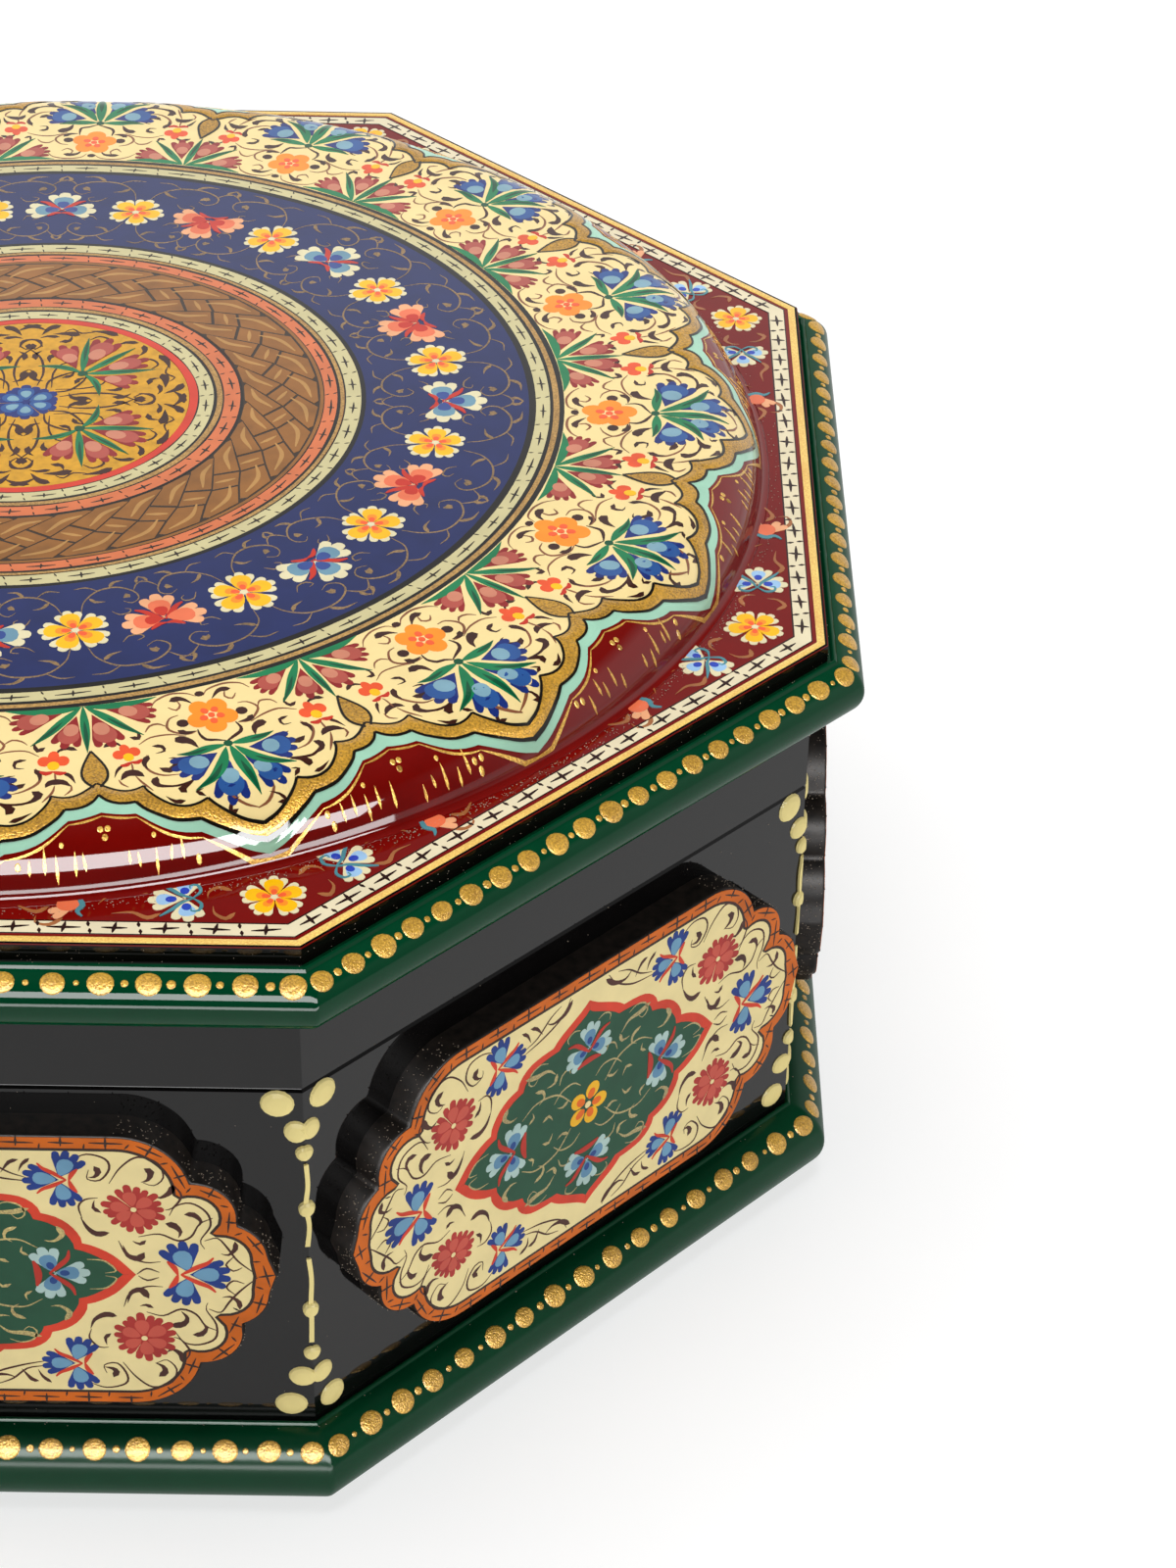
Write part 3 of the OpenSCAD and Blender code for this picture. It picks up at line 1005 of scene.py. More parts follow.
def paint_lobe(lobe):
    """The flowers and scrolls of one lobe of the border."""
    spot = lobe_place(lobe)
    paint_carnation(by_hand(within(spot, 0, 76.4, 0, 1.13, hand.random() < 0.4), 0.12, 2.0, 0.03))
    paint_orange_rosette(within(spot, 0, 70.6))
    paint_palmette(by_hand(within(spot, LOBE_HALF, 65.2, 0, 1.12), 0.1, 0.8, 0.02))
    vines.shape(spot, oval(0, 66.5, 1.3, 1.0, 10))
    for mirrored in halves(spot):
        half = by_hand(mirrored, 0.08, 0.12, 0.0)
        for kind, width, points in SCROLLS:
            paint = fine_vines if kind == "vine" and width < 0.35 else vines
            wander = [(x + slip(0.12), y + slip(0.12)) for x, y in points]
            paint.stroke(half, wander, width * hand.uniform(0.85, 1.15), kind, step=0.6)
        vines.shape(half, oval(3.85, 71.2, 1.5, 1.4, 12))
        paint_bud(within(half, LOBE_HALF - 3.9, 75.2))


# Navy band: a rosette and a three-petalled flower by turns

NAVY_LANE = 51.0
FLOWER_RING = 50.6
FLOWERS = 32
FLOWER_PHASE = 2.2
PINKS = (peach, coral, sepals)
WHITES = (ivory, dusk_blue, ink_blue)

def paint_five_petals(place, size=1.0):
    spot = by_hand(within(place, 0, 0, 0, size), 0.1, 30, 0.05)
    for i in range(5):
        petal = by_hand(within(spot, 0, 0, 72 * i), 0.05, 3, 0.06)
        ivory.shape(petal, fan(3.95, 62, 3, 0.16))
        yellow_hearts.shape(petal, drop(3.0, 2.3, 0.35), 0.07)
        orange.shape(petal, drop(1.8, 1.15, 0.3), 0.08)
        orange_hearts.shape(petal, drop(1.15, 0.7, 0.3))
    ivory.shape(spot, oval(0, 0, 0.9, 0.9, 10), 0.1)


def paint_three_petals(place, paints, length=4.9, spread=66):
    """Three broad scalloped petals on red stems, whose colour deepens towards the middle."""
    spot = by_hand(place, 0.12, 4, 0.04)
    edge, mid, heart = paints
    wide = 2 * length * sin(radians(spread) / 2)
    for turn in (0, 93, -93):
        petal = by_hand(within(spot, 0, 0, turn), 0.06, 3, 0.04)
        edge.shape(petal, fan(length, spread, 3, 0.16))
        mid.shape(petal, drop(length * 0.66, wide * 0.5, 0.35))
        heart.shape(petal, drop(length * 0.4, wide * 0.3, 0.3))
    for half in halves(spot):
        sepals.stroke(half, [(0.1, -0.3), (1.2, 1.0), (2.0, 1.9), (2.9, 2.4)], 0.75)
        sepals.stroke(half, [(0.0, -1.05), (0.9, -1.1), (1.9, -1.9)], 0.6)


# Gold scrolls of the navy band, from a rosette's middle to the next flower's: kind, width and points
NAVY_SCROLLS = (
    ("vine", 0.25, ((0.9, 54.2), (1.6, 56.6), (3.6, 58.5), (6.4, 58.8),
                    (8.5, 57.6), (8.9, 56.1), (7.9, 55.1), (6.8, 55.7))),
    ("comma", 1.0, ((7.9, 56.7), (7.3, 56.6), (6.9, 56.1))),
    ("vine", 0.2, ((3.6, 58.5), (2.3, 59.6), (0.8, 59.5))),
    ("comma", 0.5, ((5.4, 58.9), (6.4, 60.0), (7.9, 60.1))),
    ("comma", 0.5, ((2.1, 57.2), (2.9, 56.2), (4.1, 55.9))),
    ("vine", 0.2, ((8.5, 57.6), (9.4, 58.8), (10.5, 59.2))),
    ("comma", 0.5, ((9.3, 58.7), (9.5, 59.7), (10.2, 60.3))),
    ("vine", 0.2, ((4.6, 54.2), (5.4, 53.2), (6.6, 53.2), (6.9, 54.0), (6.2, 54.3))),
    ("vine", 0.25, ((1.0, 47.7), (1.8, 45.3), (4.0, 43.5), (6.6, 43.3),
                    (8.4, 44.6), (8.6, 46.1), (7.6, 46.9), (6.6, 46.3))),
    ("comma", 0.9, ((7.7, 45.2), (7.2, 45.3), (6.8, 45.7))),
    ("vine", 0.2, ((4.0, 43.5), (2.7, 42.4), (1.0, 42.6))),
    ("comma", 0.5, ((5.6, 43.2), (6.5, 42.2), (7.8, 42.1))),
    ("comma", 0.5, ((2.5, 44.6), (3.3, 45.6), (4.5, 45.8))),
    ("vine", 0.2, ((8.4, 44.6), (9.3, 43.4), (10.4, 43.0))),
    ("comma", 0.45, ((9.3, 43.4), (9.5, 42.5), (10.2, 42.0))),
    ("vine", 0.2, ((4.8, 47.8), (5.5, 48.8), (6.6, 48.8), (6.9, 48.1), (6.3, 47.7))),
)


def paint_navy_band():
    for i in range(FLOWERS):
        spot = unrolled(FLOWER_PHASE - 360 / FLOWERS * i, NAVY_LANE)
        flower = within(spot, 0, FLOWER_RING)
        if i % 2:
            paint_five_petals(flower)
            for half in halves(spot):
                paint_scrolls(navy_scrolls, half, NAVY_SCROLLS, 0.1)
        elif i % 4:
            paint_three_petals(within(flower, 0, 0.4, 180), PINKS)
        else:
            paint_three_petals(flower, WHITES)


# Medallion: a blue rosette, four crimson sprays and brown scrolls on gold

SPRAY_START = -130
SPRAY_SCROLLS = (
    ("vine", 0.3, ((0.0, 4.0), (1.5, 6.0), (1.2, 8.5), (0.3, 10.0))),
    ("vine", 0.3, ((3.2, 3.0), (5.6, 4.6), (7.6, 7.2), (8.2, 10.0))),
    ("comma", 0.9, ((4.4, 6.4), (3.8, 5.6), (2.8, 5.2), (2.0, 5.6))),
    ("comma", 1.0, ((6.4, 15.2), (7.6, 14.6), (8.8, 13.4))),
    ("comma", 0.9, ((9.6, 15.3), (10.0, 14.0), (9.6, 12.4))),
    ("comma", 0.9, ((3.2, 17.9), (4.7, 17.6), (6.2, 16.6))),
    ("comma", 0.7, ((0.4, 18.3), (1.5, 17.4), (1.7, 16.3))),
    ("vine", 0.3, ((7.6, 10.6), (8.8, 11.4), (9.9, 10.6), (9.6, 9.2), (8.4, 9.0))),
    ("comma", 0.8, ((8.9, 10.4), (8.3, 9.8), (8.6, 9.0))),
    ("comma", 0.7, ((7.0, 12.6), (6.4, 13.6), (6.9, 14.4))),
    ("vine", 0.3, ((2.4, 15.0), (3.2, 16.6), (4.6, 16.4), (4.8, 15.2))),
    ("comma", 0.8, ((11.2, 13.9), (12.0, 12.6), (12.2, 11.2))),
    ("comma", 0.7, ((6.0, 8.2), (6.9, 8.9), (7.0, 10.0))),
    ("vine", 0.24, ((0.3, 5.2), (2.4, 7.4), (3.2, 9.4), (2.6, 10.4), (1.8, 9.8))),
    ("comma", 0.7, ((5.4, 10.4), (5.2, 9.4), (4.4, 8.8))),
    ("comma", 0.6, ((7.8, 13.4), (8.9, 12.6), (9.2, 11.8))),
    ("comma", 0.6, ((2.2, 13.6), (1.6, 12.6), (1.9, 11.6))),
    ("vine", 0.24, ((5.6, 17.0), (6.6, 15.6), (8.0, 15.6), (8.2, 14.6))),
    ("comma", 0.6, ((1.0, 7.4), (0.6, 8.4), (1.0, 9.2))),
    ("comma", 0.6, ((4.0, 4.4), (4.9, 5.2), (5.0, 6.2))),
)


def paint_medallion():
    flat = level(DISC_TOP)
    for i in range(6):
        petal = by_hand(within(flat, 0, 0, 60 * i + 8), 0.05, 3, 0.04)
        deep_blue.shape(petal, fan(4.0, 62, 3, 0.12))
        mid_blue.shape(petal, drop(2.9, 2.0, 0.4))
        pale_blue.shape(petal, drop(1.6, 1.3, 1.0))
    deep_blue.shape(flat, oval(0, 0, 1.0, 1.0, 12), 0.09)
    for quarter in range(4):
        spot = within(within(flat, 0, 0, SPRAY_START + 90 * quarter), 0, -1.4, 0, 1.13)
        for half in halves(spot):
            petal_fan(REDS, half, 0.7, 10.6, -20, 6.6, 38, 3, 0.25)
            petal_fan(REDS, half, 1.3, 9.8, -62, 5.4, 44, 3, 0.25)
            paint_leaf(half, [(0.2, 9.6), (1.8, 11.4), (3.4, 13.2), (5.2, 15.4)], 0.85)
            paint_leaf(half, [(0.2, 9.5), (1.8, 9.3), (3.3, 8.6), (4.8, 7.4)], 0.8)
            paint_scrolls(vines, half, SPRAY_SCROLLS)
        paint_leaf(spot, [(0, 9.6), (0.1, 12.0), (0.1, 14.4), (0.2, 17.2)], 0.85)
        leaf_darks.shape(spot, oval(0, 9.5, 1.0, 1.2, 10))


# Smooth skins for the round-edged boards, the disc and the plaques

SOFT_CORNER = 1.1
SKIN_INSET = 0.5


def eight_sided_ring(reach, height, steps=4):
    """An octagon with softened corners, as points at one height."""
    points = []
    away = (reach - SOFT_CORNER) / cos(HALF_SIDE)
    for k in range(SIDES):
        middle = (2 * k + 1) * HALF_SIDE
        for angle in np.linspace(middle - HALF_SIDE, middle + HALF_SIDE, steps + 1):
            points.append((away * cos(middle) + SOFT_CORNER * cos(angle),
                           away * sin(middle) + SOFT_CORNER * sin(angle), height))
    return np.array(points)


def round_ring(radius, height, steps=256):
    angles = np.linspace(0, 2 * pi, steps, endpoint=False)
    return np.column_stack((radius * np.cos(angles), radius * np.sin(angles), np.full(steps, height)))


def skin(name, rings, body, material, stands_for):
    """A smooth closed shape through rings of points, from the bottom up, in place of a solid."""
    n = len(rings[0])
    last = (len(rings) - 1) * n
    faces = tube_faces(len(rings), n) + [tuple(range(last, last + n))]
    piece = add_piece(name, np.vstack(rings), faces, material)
    piece.data.polygons.foreach_set("use_smooth", [True] * len(faces))
    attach(piece, body)
    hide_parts(stands_for)


def add_board_skin(name, reach, thickness, top, body, stands_for):
    radius = thickness / 2
    middle = reach - radius
    rings = [eight_sided_ring(middle - SKIN_INSET, top - thickness)]
    for bend in np.radians(np.linspace(-90, 90, 25)):
        rings.append(eight_sided_ring(middle + radius * cos(bend), top - radius + radius * sin(bend)))
    rings.append(eight_sided_ring(middle - SKIN_INSET, top))
    skin(name, rings, body, FINISHES[stands_for], stands_for)


def add_disc_skin():
    foot = PLATEAU_TOP + FOOT_FILLET
    rings = [round_ring(DISC_REACH - 0.4, PLATEAU_TOP), round_ring(DISC_REACH, PLATEAU_TOP)]
    touch = degrees(asin((FOOT_START - DISC_FLAT) / DISC_ROUND))
    for lean in np.radians(np.linspace(touch / 9, touch, 9)):
        rings.append(round_ring(DISC_REACH - FOOT_FILLET * sin(lean), foot - FOOT_FILLET * cos(lean)))
    for lean in np.radians(np.linspace(touch, 0, 22)):
        rings.append(round_ring(DISC_FLAT + DISC_ROUND * sin(lean),
                                DISC_TOP - DISC_ROUND * (1 - cos(lean))))
    rings.append(round_ring(DISC_FLAT - 1.0, DISC_TOP))
    skin("crown_disc_skin", rings, "lid", MAROON, "crown_disc")


def add_plaque_skin(side):
    """A plaque with smooth sides and an eased front edge."""
    rings = []
    for reach, inset in ((WALL_REACH - 0.2, 0.05), (WALL_REACH, 0.05), (PLAQUE_REACH - 0.5, 0.05),
                         (PLAQUE_REACH - 0.2, 0.08), (PLAQUE_REACH - 0.06, 0.16), (PLAQUE_REACH, 0.3)):
        rings.append(upright(side, reach, PLAQUE_MID)(plaque_outline(inset, 48), 0.0))
    skin(f"plaque_{side}_skin", rings, "base", PLAQUE_SIDE, f"plaque_{side}")


# Plateau: bands along its edge and flowers at its corners

plateau_cream = rgb_paint("plateau_cream_band", *LID_RED, 226, 214, 180, 0.03, 0.04)
plateau_dark = rgb_paint("plateau_dark_lines", *LID_RED, 40, 14, 10, 0.045, 0.15)
# The plateau band's pale gold is partly the gold paint and partly a painted highlight: its brightness
# stands in for the light that a rounded edge along the band would catch.
gold_and_painted_highlight = gilding("plateau_gold_and_highlight", (255, 212, 112), (226, 172, 78), depth=0.3, metal=0.05)
plateau_gold_and_highlight = Paint("plateau_gold_band", *LID_RED, gold_and_painted_highlight, 0.05)
plateau_step = rgb_paint("plateau_black_step", *LID_RED, 12, 10, 8, 0.04, coat=0.35)
sky_blue = rgb_paint("corner_sky_petals", *LID_RED, 150, 190, 226, 0.075)
royal_blue = rgb_paint("corner_blue_hearts", *LID_RED, 40, 68, 176, 0.085)
teal = rgb_paint("corner_teal_stems", *LID_RED, 74, 134, 144, 0.09)
tan_scrolls = rgb_paint("corner_tan_scrolls", *LID_RED, 158, 98, 56, 0.04, 0.12)

CREAM_BAND = (91.8, 93.75)
GOLD_BAND = 94.35
BAND_CROSSES = 15
CORNER_FLOWERS = 94.6


def octagon_line(reach):
    away = reach / cos(HALF_SIDE)
    corners = [(2 * k + 1) * HALF_SIDE for k in range(SIDES)]
    return np.array([(away * cos(corner), away * sin(corner)) for corner in corners])


def octagon_band(paint, height, inner, outer, **more):
    """A band of paint between two octagons."""
    paint.strip(level(height), octagon_line(inner), octagon_line(outer), closed=True, **more)


def facing_out(place, azimuth, away):
    """A frame at a distance from the middle, with +y outwards."""
    a = radians(azimuth)
    return within(place, away * cos(a), away * sin(a), azimuth - 90)


rim_bead = Paint("rim_bead", "lid", "rim_green", GREEN, 0.0)
base_bead = Paint("base_bead", "base", "rim_green", BASE_GREEN, 0.0)


def paint_beads():
    """Low ridges of lacquer: along the shoulder of the lid's rim, and at the foot of the walls."""
    octagon_band(base_bead, BASE_TOP, WALL_REACH + 0.05, WALL_REACH + 0.75, across=12, crown=0.3)
    shoulder = RIM_REACH - RIM_T / 2
    octagon_band(rim_bead, RIM_TOP, shoulder - 0.8, shoulder + 0.05, across=12, crown=0.4)


inside_black = Paint("inside_floor", "base", "black_lacquer", INSIDE, 0.05)
lid_lining = Paint("lid_lining", "lid", "black_lacquer", INSIDE, 0.05)


def paint_inside():
    """Black lacquer on the floor inside and on the underside of the lid."""
    ring = octagon_line(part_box("lip_1")[0].x / MM - 0.1)
    inside_black.shape(level(BASE_TOP), ring)
    under = RIM_TOP - RIM_T
    lid_lining.shape(lambda points, lift: level(under)(points, -lift), ring[::-1])


def paint_plateau_bands():
    """The bands along the plateau, its black edge, and a cross and a broken divider at each pitch."""
    low, high = CREAM_BAND
    middle = (low + high) / 2
    octagon_band(plateau_cream, PLATEAU_TOP, low, high)
    octagon_band(plateau_dark, PLATEAU_TOP, low - 0.12, low + 0.06)
    octagon_band(plateau_dark, PLATEAU_TOP, high, high + 0.12)
    octagon_band(plateau_step, PLATEAU_TOP, GOLD_BAND + 0.2, PLATEAU_REACH - 0.08)
    octagon_band(plateau_gold_and_highlight, PLATEAU_TOP, GOLD_BAND, PLATEAU_REACH - 0.35, across=3, crown=0.05)
    half = PLATEAU_REACH * tan(HALF_SIDE)
    tall = (PLATEAU_TOP - RIM_TOP) / 2
    pitch = 2 * middle * tan(HALF_SIDE) / BAND_CROSSES
    for side in range(1, SIDES + 1):
        lane = upright(side, PLATEAU_REACH, (PLATEAU_TOP + RIM_TOP) / 2)
        plateau_step.shape(lane, [(-half, -tall), (half, -tall), (half, tall - 0.12), (-half, tall - 0.12)])
        along = facing_out(level(PLATEAU_TOP), degrees((side - 1) * 2 * HALF_SIDE), middle)
        for i in range(BAND_CROSSES):
            spot = within(along, (i + 0.5 - BAND_CROSSES / 2) * pitch, 0, slip(7))
            reach = hand.uniform(1.3, 1.75)
            plateau_dark.stroke(spot, [(-reach, -0.05), (0, 0.04), (reach, 0.05)], 0.4, step=1.0)
            plateau_dark.stroke(spot, [(-0.06, -0.88), (0.08, 0.84)], 0.44, step=0.6)
            if i:
                split = within(along, (i - BAND_CROSSES / 2) * pitch, 0)
                plateau_dark.stroke(split, [(-0.22, 0.96), (-0.08, 0.2)], 0.42, step=0.6)
                plateau_dark.stroke(split, [(0.08, -0.16), (0.24, -0.96)], 0.42, step=0.6)


def paint_corner_flower(place):
    """A blue and white flower whose middle petal points along +y."""
    spot = by_hand(place, 0.15, 5, 0.05)
    for turn in (0, 92, -92):
        petal = by_hand(within(spot, 0, 0, turn), 0.05, 4, 0.05)
        ivory.shape(petal, fan(3.5, 72, 3, 0.2))
        sky_blue.shape(petal, drop(1.9, 1.7, 0.8))
        royal_blue.shape(petal, oval(0, 1.25, 0.95, 1.1, 12))
    for half in halves(spot):
        teal.stroke(half, [(0, -0.9), (0.6, 0.3), (1.5, 1.2), (2.5, 2.5)], 0.45)
        teal.stroke(half, [(0, -0.8), (1.0, -1.6), (2.0, -1.3), (2.0, -0.6), (1.5, -0.6)], 0.36)


def paint_corner_bud(place):
    spot = by_hand(place, 0.15, 6, 0.05)
    for turn in (38, -38):
        peach.shape(within(spot, 0, -0.2, turn), fan(2.6, 46, 2, 0.2), 0.06)
    coral.shape(spot, oval(0, 0.5, 1.7, 1.9, 14), 0.09)
    teal.stroke(spot, [(-1.4, -0.9), (-0.8, -0.4), (0, -0.7), (0.8, -0.4), (1.4, -1.0)], 0.5)


# Scrolls on either side of a corner's flower: kind, width and points
CORNER_SCROLLS = (
    ("comma", 0.55, ((4.4, 1.0), (5.6, 1.6), (6.4, 0.4), (6.2, -0.8))),
    ("comma", 0.55, ((3.6, -2.6), (4.8, -3.6), (5.9, -3.2), (6.3, -2.3))),
    ("comma", 0.55, ((11.5, -1.6), (13.0, -1.4), (14.2, -2.8), (16.2, -3.4))),
    ("comma", 0.55, ((11.8, -5.2), (13.6, -6.6), (15.4, -6.4), (17.0, -5.4))),
    ("comma", 0.55, ((21.8, -6.8), (23.2, -6.4), (24.4, -7.6), (25.0, -8.8))),
    ("comma", 0.55, ((21.0, -4.4), (22.6, -3.9), (23.8, -4.8), (23.4, -5.8))),
)


def paint_plateau_corners():
    for k in range(SIDES):
        spot = facing_out(level(PLATEAU_TOP), degrees((2 * k + 1) * HALF_SIDE), CORNER_FLOWERS)
        paint_five_petals(spot, 0.88)
        for half in halves(spot):
            paint_corner_flower(within(half, 8.6, -2.9, -110))
            paint_corner_bud(within(half, 19.4, -5.9, -112, 1.3))
            paint_scrolls(tan_scrolls, half, CORNER_SCROLLS)


# Gold dots along the rounded edges

dot_gold = gilding("dot_gold", (212, 163, 54), (160, 116, 32), metal=0.2, coat=0.2)
rim_dots = Paint("lid_rim_dots", "lid", "rim_green", dot_gold, 0.05)
base_dots = Paint("base_rim_dots", "base", "rim_green", dot_gold, 0.05)


def paint_edge_dots(paint, reach, thickness, top, counts, width, lean):
    """Large dots with a small one between, lean degrees round the edge from its top."""
    down = thickness / 2 * radians(lean)
    for side, count in enumerate(counts, 1):
        pitch = 2 * reach * tan(HALF_SIDE) / count
        edge = round_edge(side, reach, thickness, top)
        for i in range(count):
            x = (i + 0.5 - count / 2) * pitch + slip(0.12)
            y = down + slip(0.08)
            size = width * hand.uniform(0.92, 1.06)
            paint.dome(edge, x, y, size, size * hand.uniform(0.86, 1.0), 0.2, slip(20), 16, 3)
            if i:
                small = hand.uniform(0.6, 1.0)
                between = (i - count / 2) * pitch + slip(0.15)
                paint.dome(edge, between, y, small, small, 0.12, sides=10, rings=2)


# Plaques: a rust border with crosses, a cream field and a green cusped medallion

PLAQUE = ("base", "plaque_cream")


def plaque_paint(name, red, green, blue, height, spread=0.07):
    return rgb_paint("plaque_" + name, *PLAQUE, red, green, blue, height, spread=spread, coat=0.4)


rust = plaque_paint("rust_borders", 206, 100, 14, 0.03, 0.12)
plaque_cream = plaque_paint("cream_fields", 238, 219, 158, 0.045, 0.04)
plaque_lines = plaque_paint("dark_lines", 56, 40, 30, 0.06, 0.15)
plaque_red = plaque_paint("red_strokes", 210, 62, 38, 0.075, 0.1)
plaque_green = plaque_paint("green_medallions", 32, 78, 55, 0.09, 0.08)
scroll_gold = gilding("scroll_gold", (176, 156, 86), (126, 108, 54))
plaque_gold = Paint("plaque_gold_scrolls", *PLAQUE, scroll_gold, 0.1)
plaque_vines = plaque_paint("brown_vines", 76, 42, 34, 0.06, 0.2)
plaque_crimson = plaque_paint("crimson_rosettes", 172, 50, 44, 0.07, 0.12)
plaque_rose = plaque_paint("rose_hearts", 198, 84, 68, 0.085)
plaque_blue = plaque_paint("blue_petals", 28, 56, 130, 0.07, 0.12)
plaque_sky = plaque_paint("sky_hearts", 108, 154, 184, 0.085)
plaque_white = plaque_paint("white_petals", 172, 198, 192, 0.105, 0.08)
plaque_mist = plaque_paint("mist_hearts", 94, 138, 168, 0.118)
plaque_ink = plaque_paint("ink_hearts", 38, 70, 132, 0.13)
plaque_stems = plaque_paint("red_stems", 182, 50, 36, 0.14)
plaque_yellow = plaque_paint("yellow_petals", 240, 180, 30, 0.12)
plaque_orange = plaque_paint("orange_hearts", 226, 104, 26, 0.135)

# A plaque's end in shares of its half height: round lobes by distance past the straight edge, height and
# radius, then how far the pointed tip reaches, and how far out and up its sides start on the last lobe
END_LOBES = ((0.0, 0.6, 0.4), (0.39, 0.43, 0.248), (0.53, 0.13, 0.263))
END_TIP = 0.84
TIP_START = (0.92, 0.2)
TIP_INSET = 1.35
BORDER_W = 1.9
BORDER_CROSSES = 40
LANE_STEPS = 400


def plaque_outline(inset, count=34):
    """The outline of a plaque's face, moved inwards."""
    h = PLAQUE_HALF_H
    straight = PLAQUE_HALF_L - END_TIP * h
    x, _, radius = END_LOBES[-1]
    out, up = TIP_START
    tip = np.array((END_TIP * h - TIP_INSET * inset, 0.0))
    along = np.array((x * h + out * (radius * h - inset), up * h)) - tip
    quarter = []
    for angle in np.radians(np.linspace(0, 90, count)):
        ray = np.array((cos(angle), sin(angle)))
        best = 0.0
        for x, y, radius in END_LOBES:
            centre = np.array((x * h, y * h))
            ahead = centre @ ray
            gap = (radius * h - inset) ** 2 - (centre @ centre - ahead ** 2)
            if gap > 0:
                best = max(best, ahead + sqrt(gap))
        share = (ray[0] * tip[1] - ray[1] * tip[0]) / (ray[1] * along[0] - ray[0] * along[1])
        if 0 <= share <= 1:
            best = max(best, (tip + along * share) @ ray)
        quarter.append(ray * best + (straight, 0))
    quarter = np.array(quarter)
    upper = np.vstack((quarter, quarter[::-1] * (-1, 1)))
    return np.vstack((upper, upper[-2:0:-1] * (1, -1)))


GREEN_EDGE = (
    ((0.0, 15.4), (1.3, 14.4), (2.9, 13.5), (4.6, 12.5), (5.6, 11.6)),
    ((5.6, 11.6), (7.4, 11.5), (9.2, 11.1), (10.6, 10.0), (11.1, 8.8)),
    ((11.1, 8.8), (12.6, 8.3), (14.0, 7.2), (15.0, 5.6), (15.2, 4.5)),
    ((15.2, 4.5), (16.6, 4.0), (18.6, 2.6), (20.7, 0.0)),
)


def cusped_outline(inset=0.0):
    """The outline of the green medallion, moved inwards."""
    quarter = np.vstack([resampled(smooth(piece), 9)[:-1] for piece in GREEN_EDGE] + [[GREEN_EDGE[-1][-1]]])
    upper = np.vstack((quarter[::-1], quarter[1:] * (-1, 1)))
    outline = np.vstack((upper, upper[-2:0:-1] * (1, -1)))
    return outline - np.sign(outline) * np.minimum(np.abs(outline), inset)


def paint_blue_sprig(place, size=1.0):
    """Three blue petals on red stems; the middle one points along +y."""
    spot = by_hand(within(place, 0, 0, 0, size), 0.1, 5, 0.05)
    for turn, x in ((0, 0.0), (108, -0.3), (-108, 0.3)):
        petal = by_hand(within(spot, x, 0.3, turn), 0.05, 3, 0.06)
        plaque_blue.shape(petal, fan(3.9, 72, 4, 0.22))
        plaque_sky.shape(petal, drop(2.4, 1.7, 0.3))
    for half in halves(spot):
        plaque_red.stroke(half, [(0, -0.5), (0.9, 0.9), (1.5, 2.0), (2.2, 2.6)], 0.5, lift=0.1)
        plaque_red.stroke(half, [(0, -0.8), (0.9, -1.1), (1.7, -1.7)], 0.55, lift=0.1)


def paint_pale_flower(place):
    """A three-petalled pale flower of the green medallion."""
    spot = by_hand(place, 0.1, 3, 0.04)
    for turn in (0, 104, -104):
        petal = by_hand(within(spot, 0, 0.3, turn), 0.05, 3, 0.05)
        plaque_white.shape(petal, fan(3.9, 66, 3, 0.18))
        plaque_mist.shape(petal, drop(2.5, 1.9, 0.2))
        plaque_ink.shape(petal, oval(0, 1.1, 0.85, 1.1, 12))
    for half in halves(spot):
        plaque_stems.stroke(half, [(0, -0.3), (1.1, 0.9), (2.2, 1.9), (3.4, 2.2)], 0.62)
    plaque_stems.stroke(spot, [(-1.9, -1.9), (-0.7, -1.6), (0.7, -1.6), (1.9, -1.9)], 0.85)


def paint_crimson_rosette(place):
    spot = by_hand(place, 0.15, 15, 0.05)
    for i in range(6):
        petal = by_hand(within(spot, 0, 0, 60 * i), 0.05, 4, 0.08)
        plaque_crimson.shape(petal, fan(3.6, 62, 3, 0.27))
        plaque_rose.shape(petal, drop(2.1, 1.5, 0.45))
    plaque_cream.shape(spot, oval(0, 0, 0.7, 0.7, 10), 0.1)


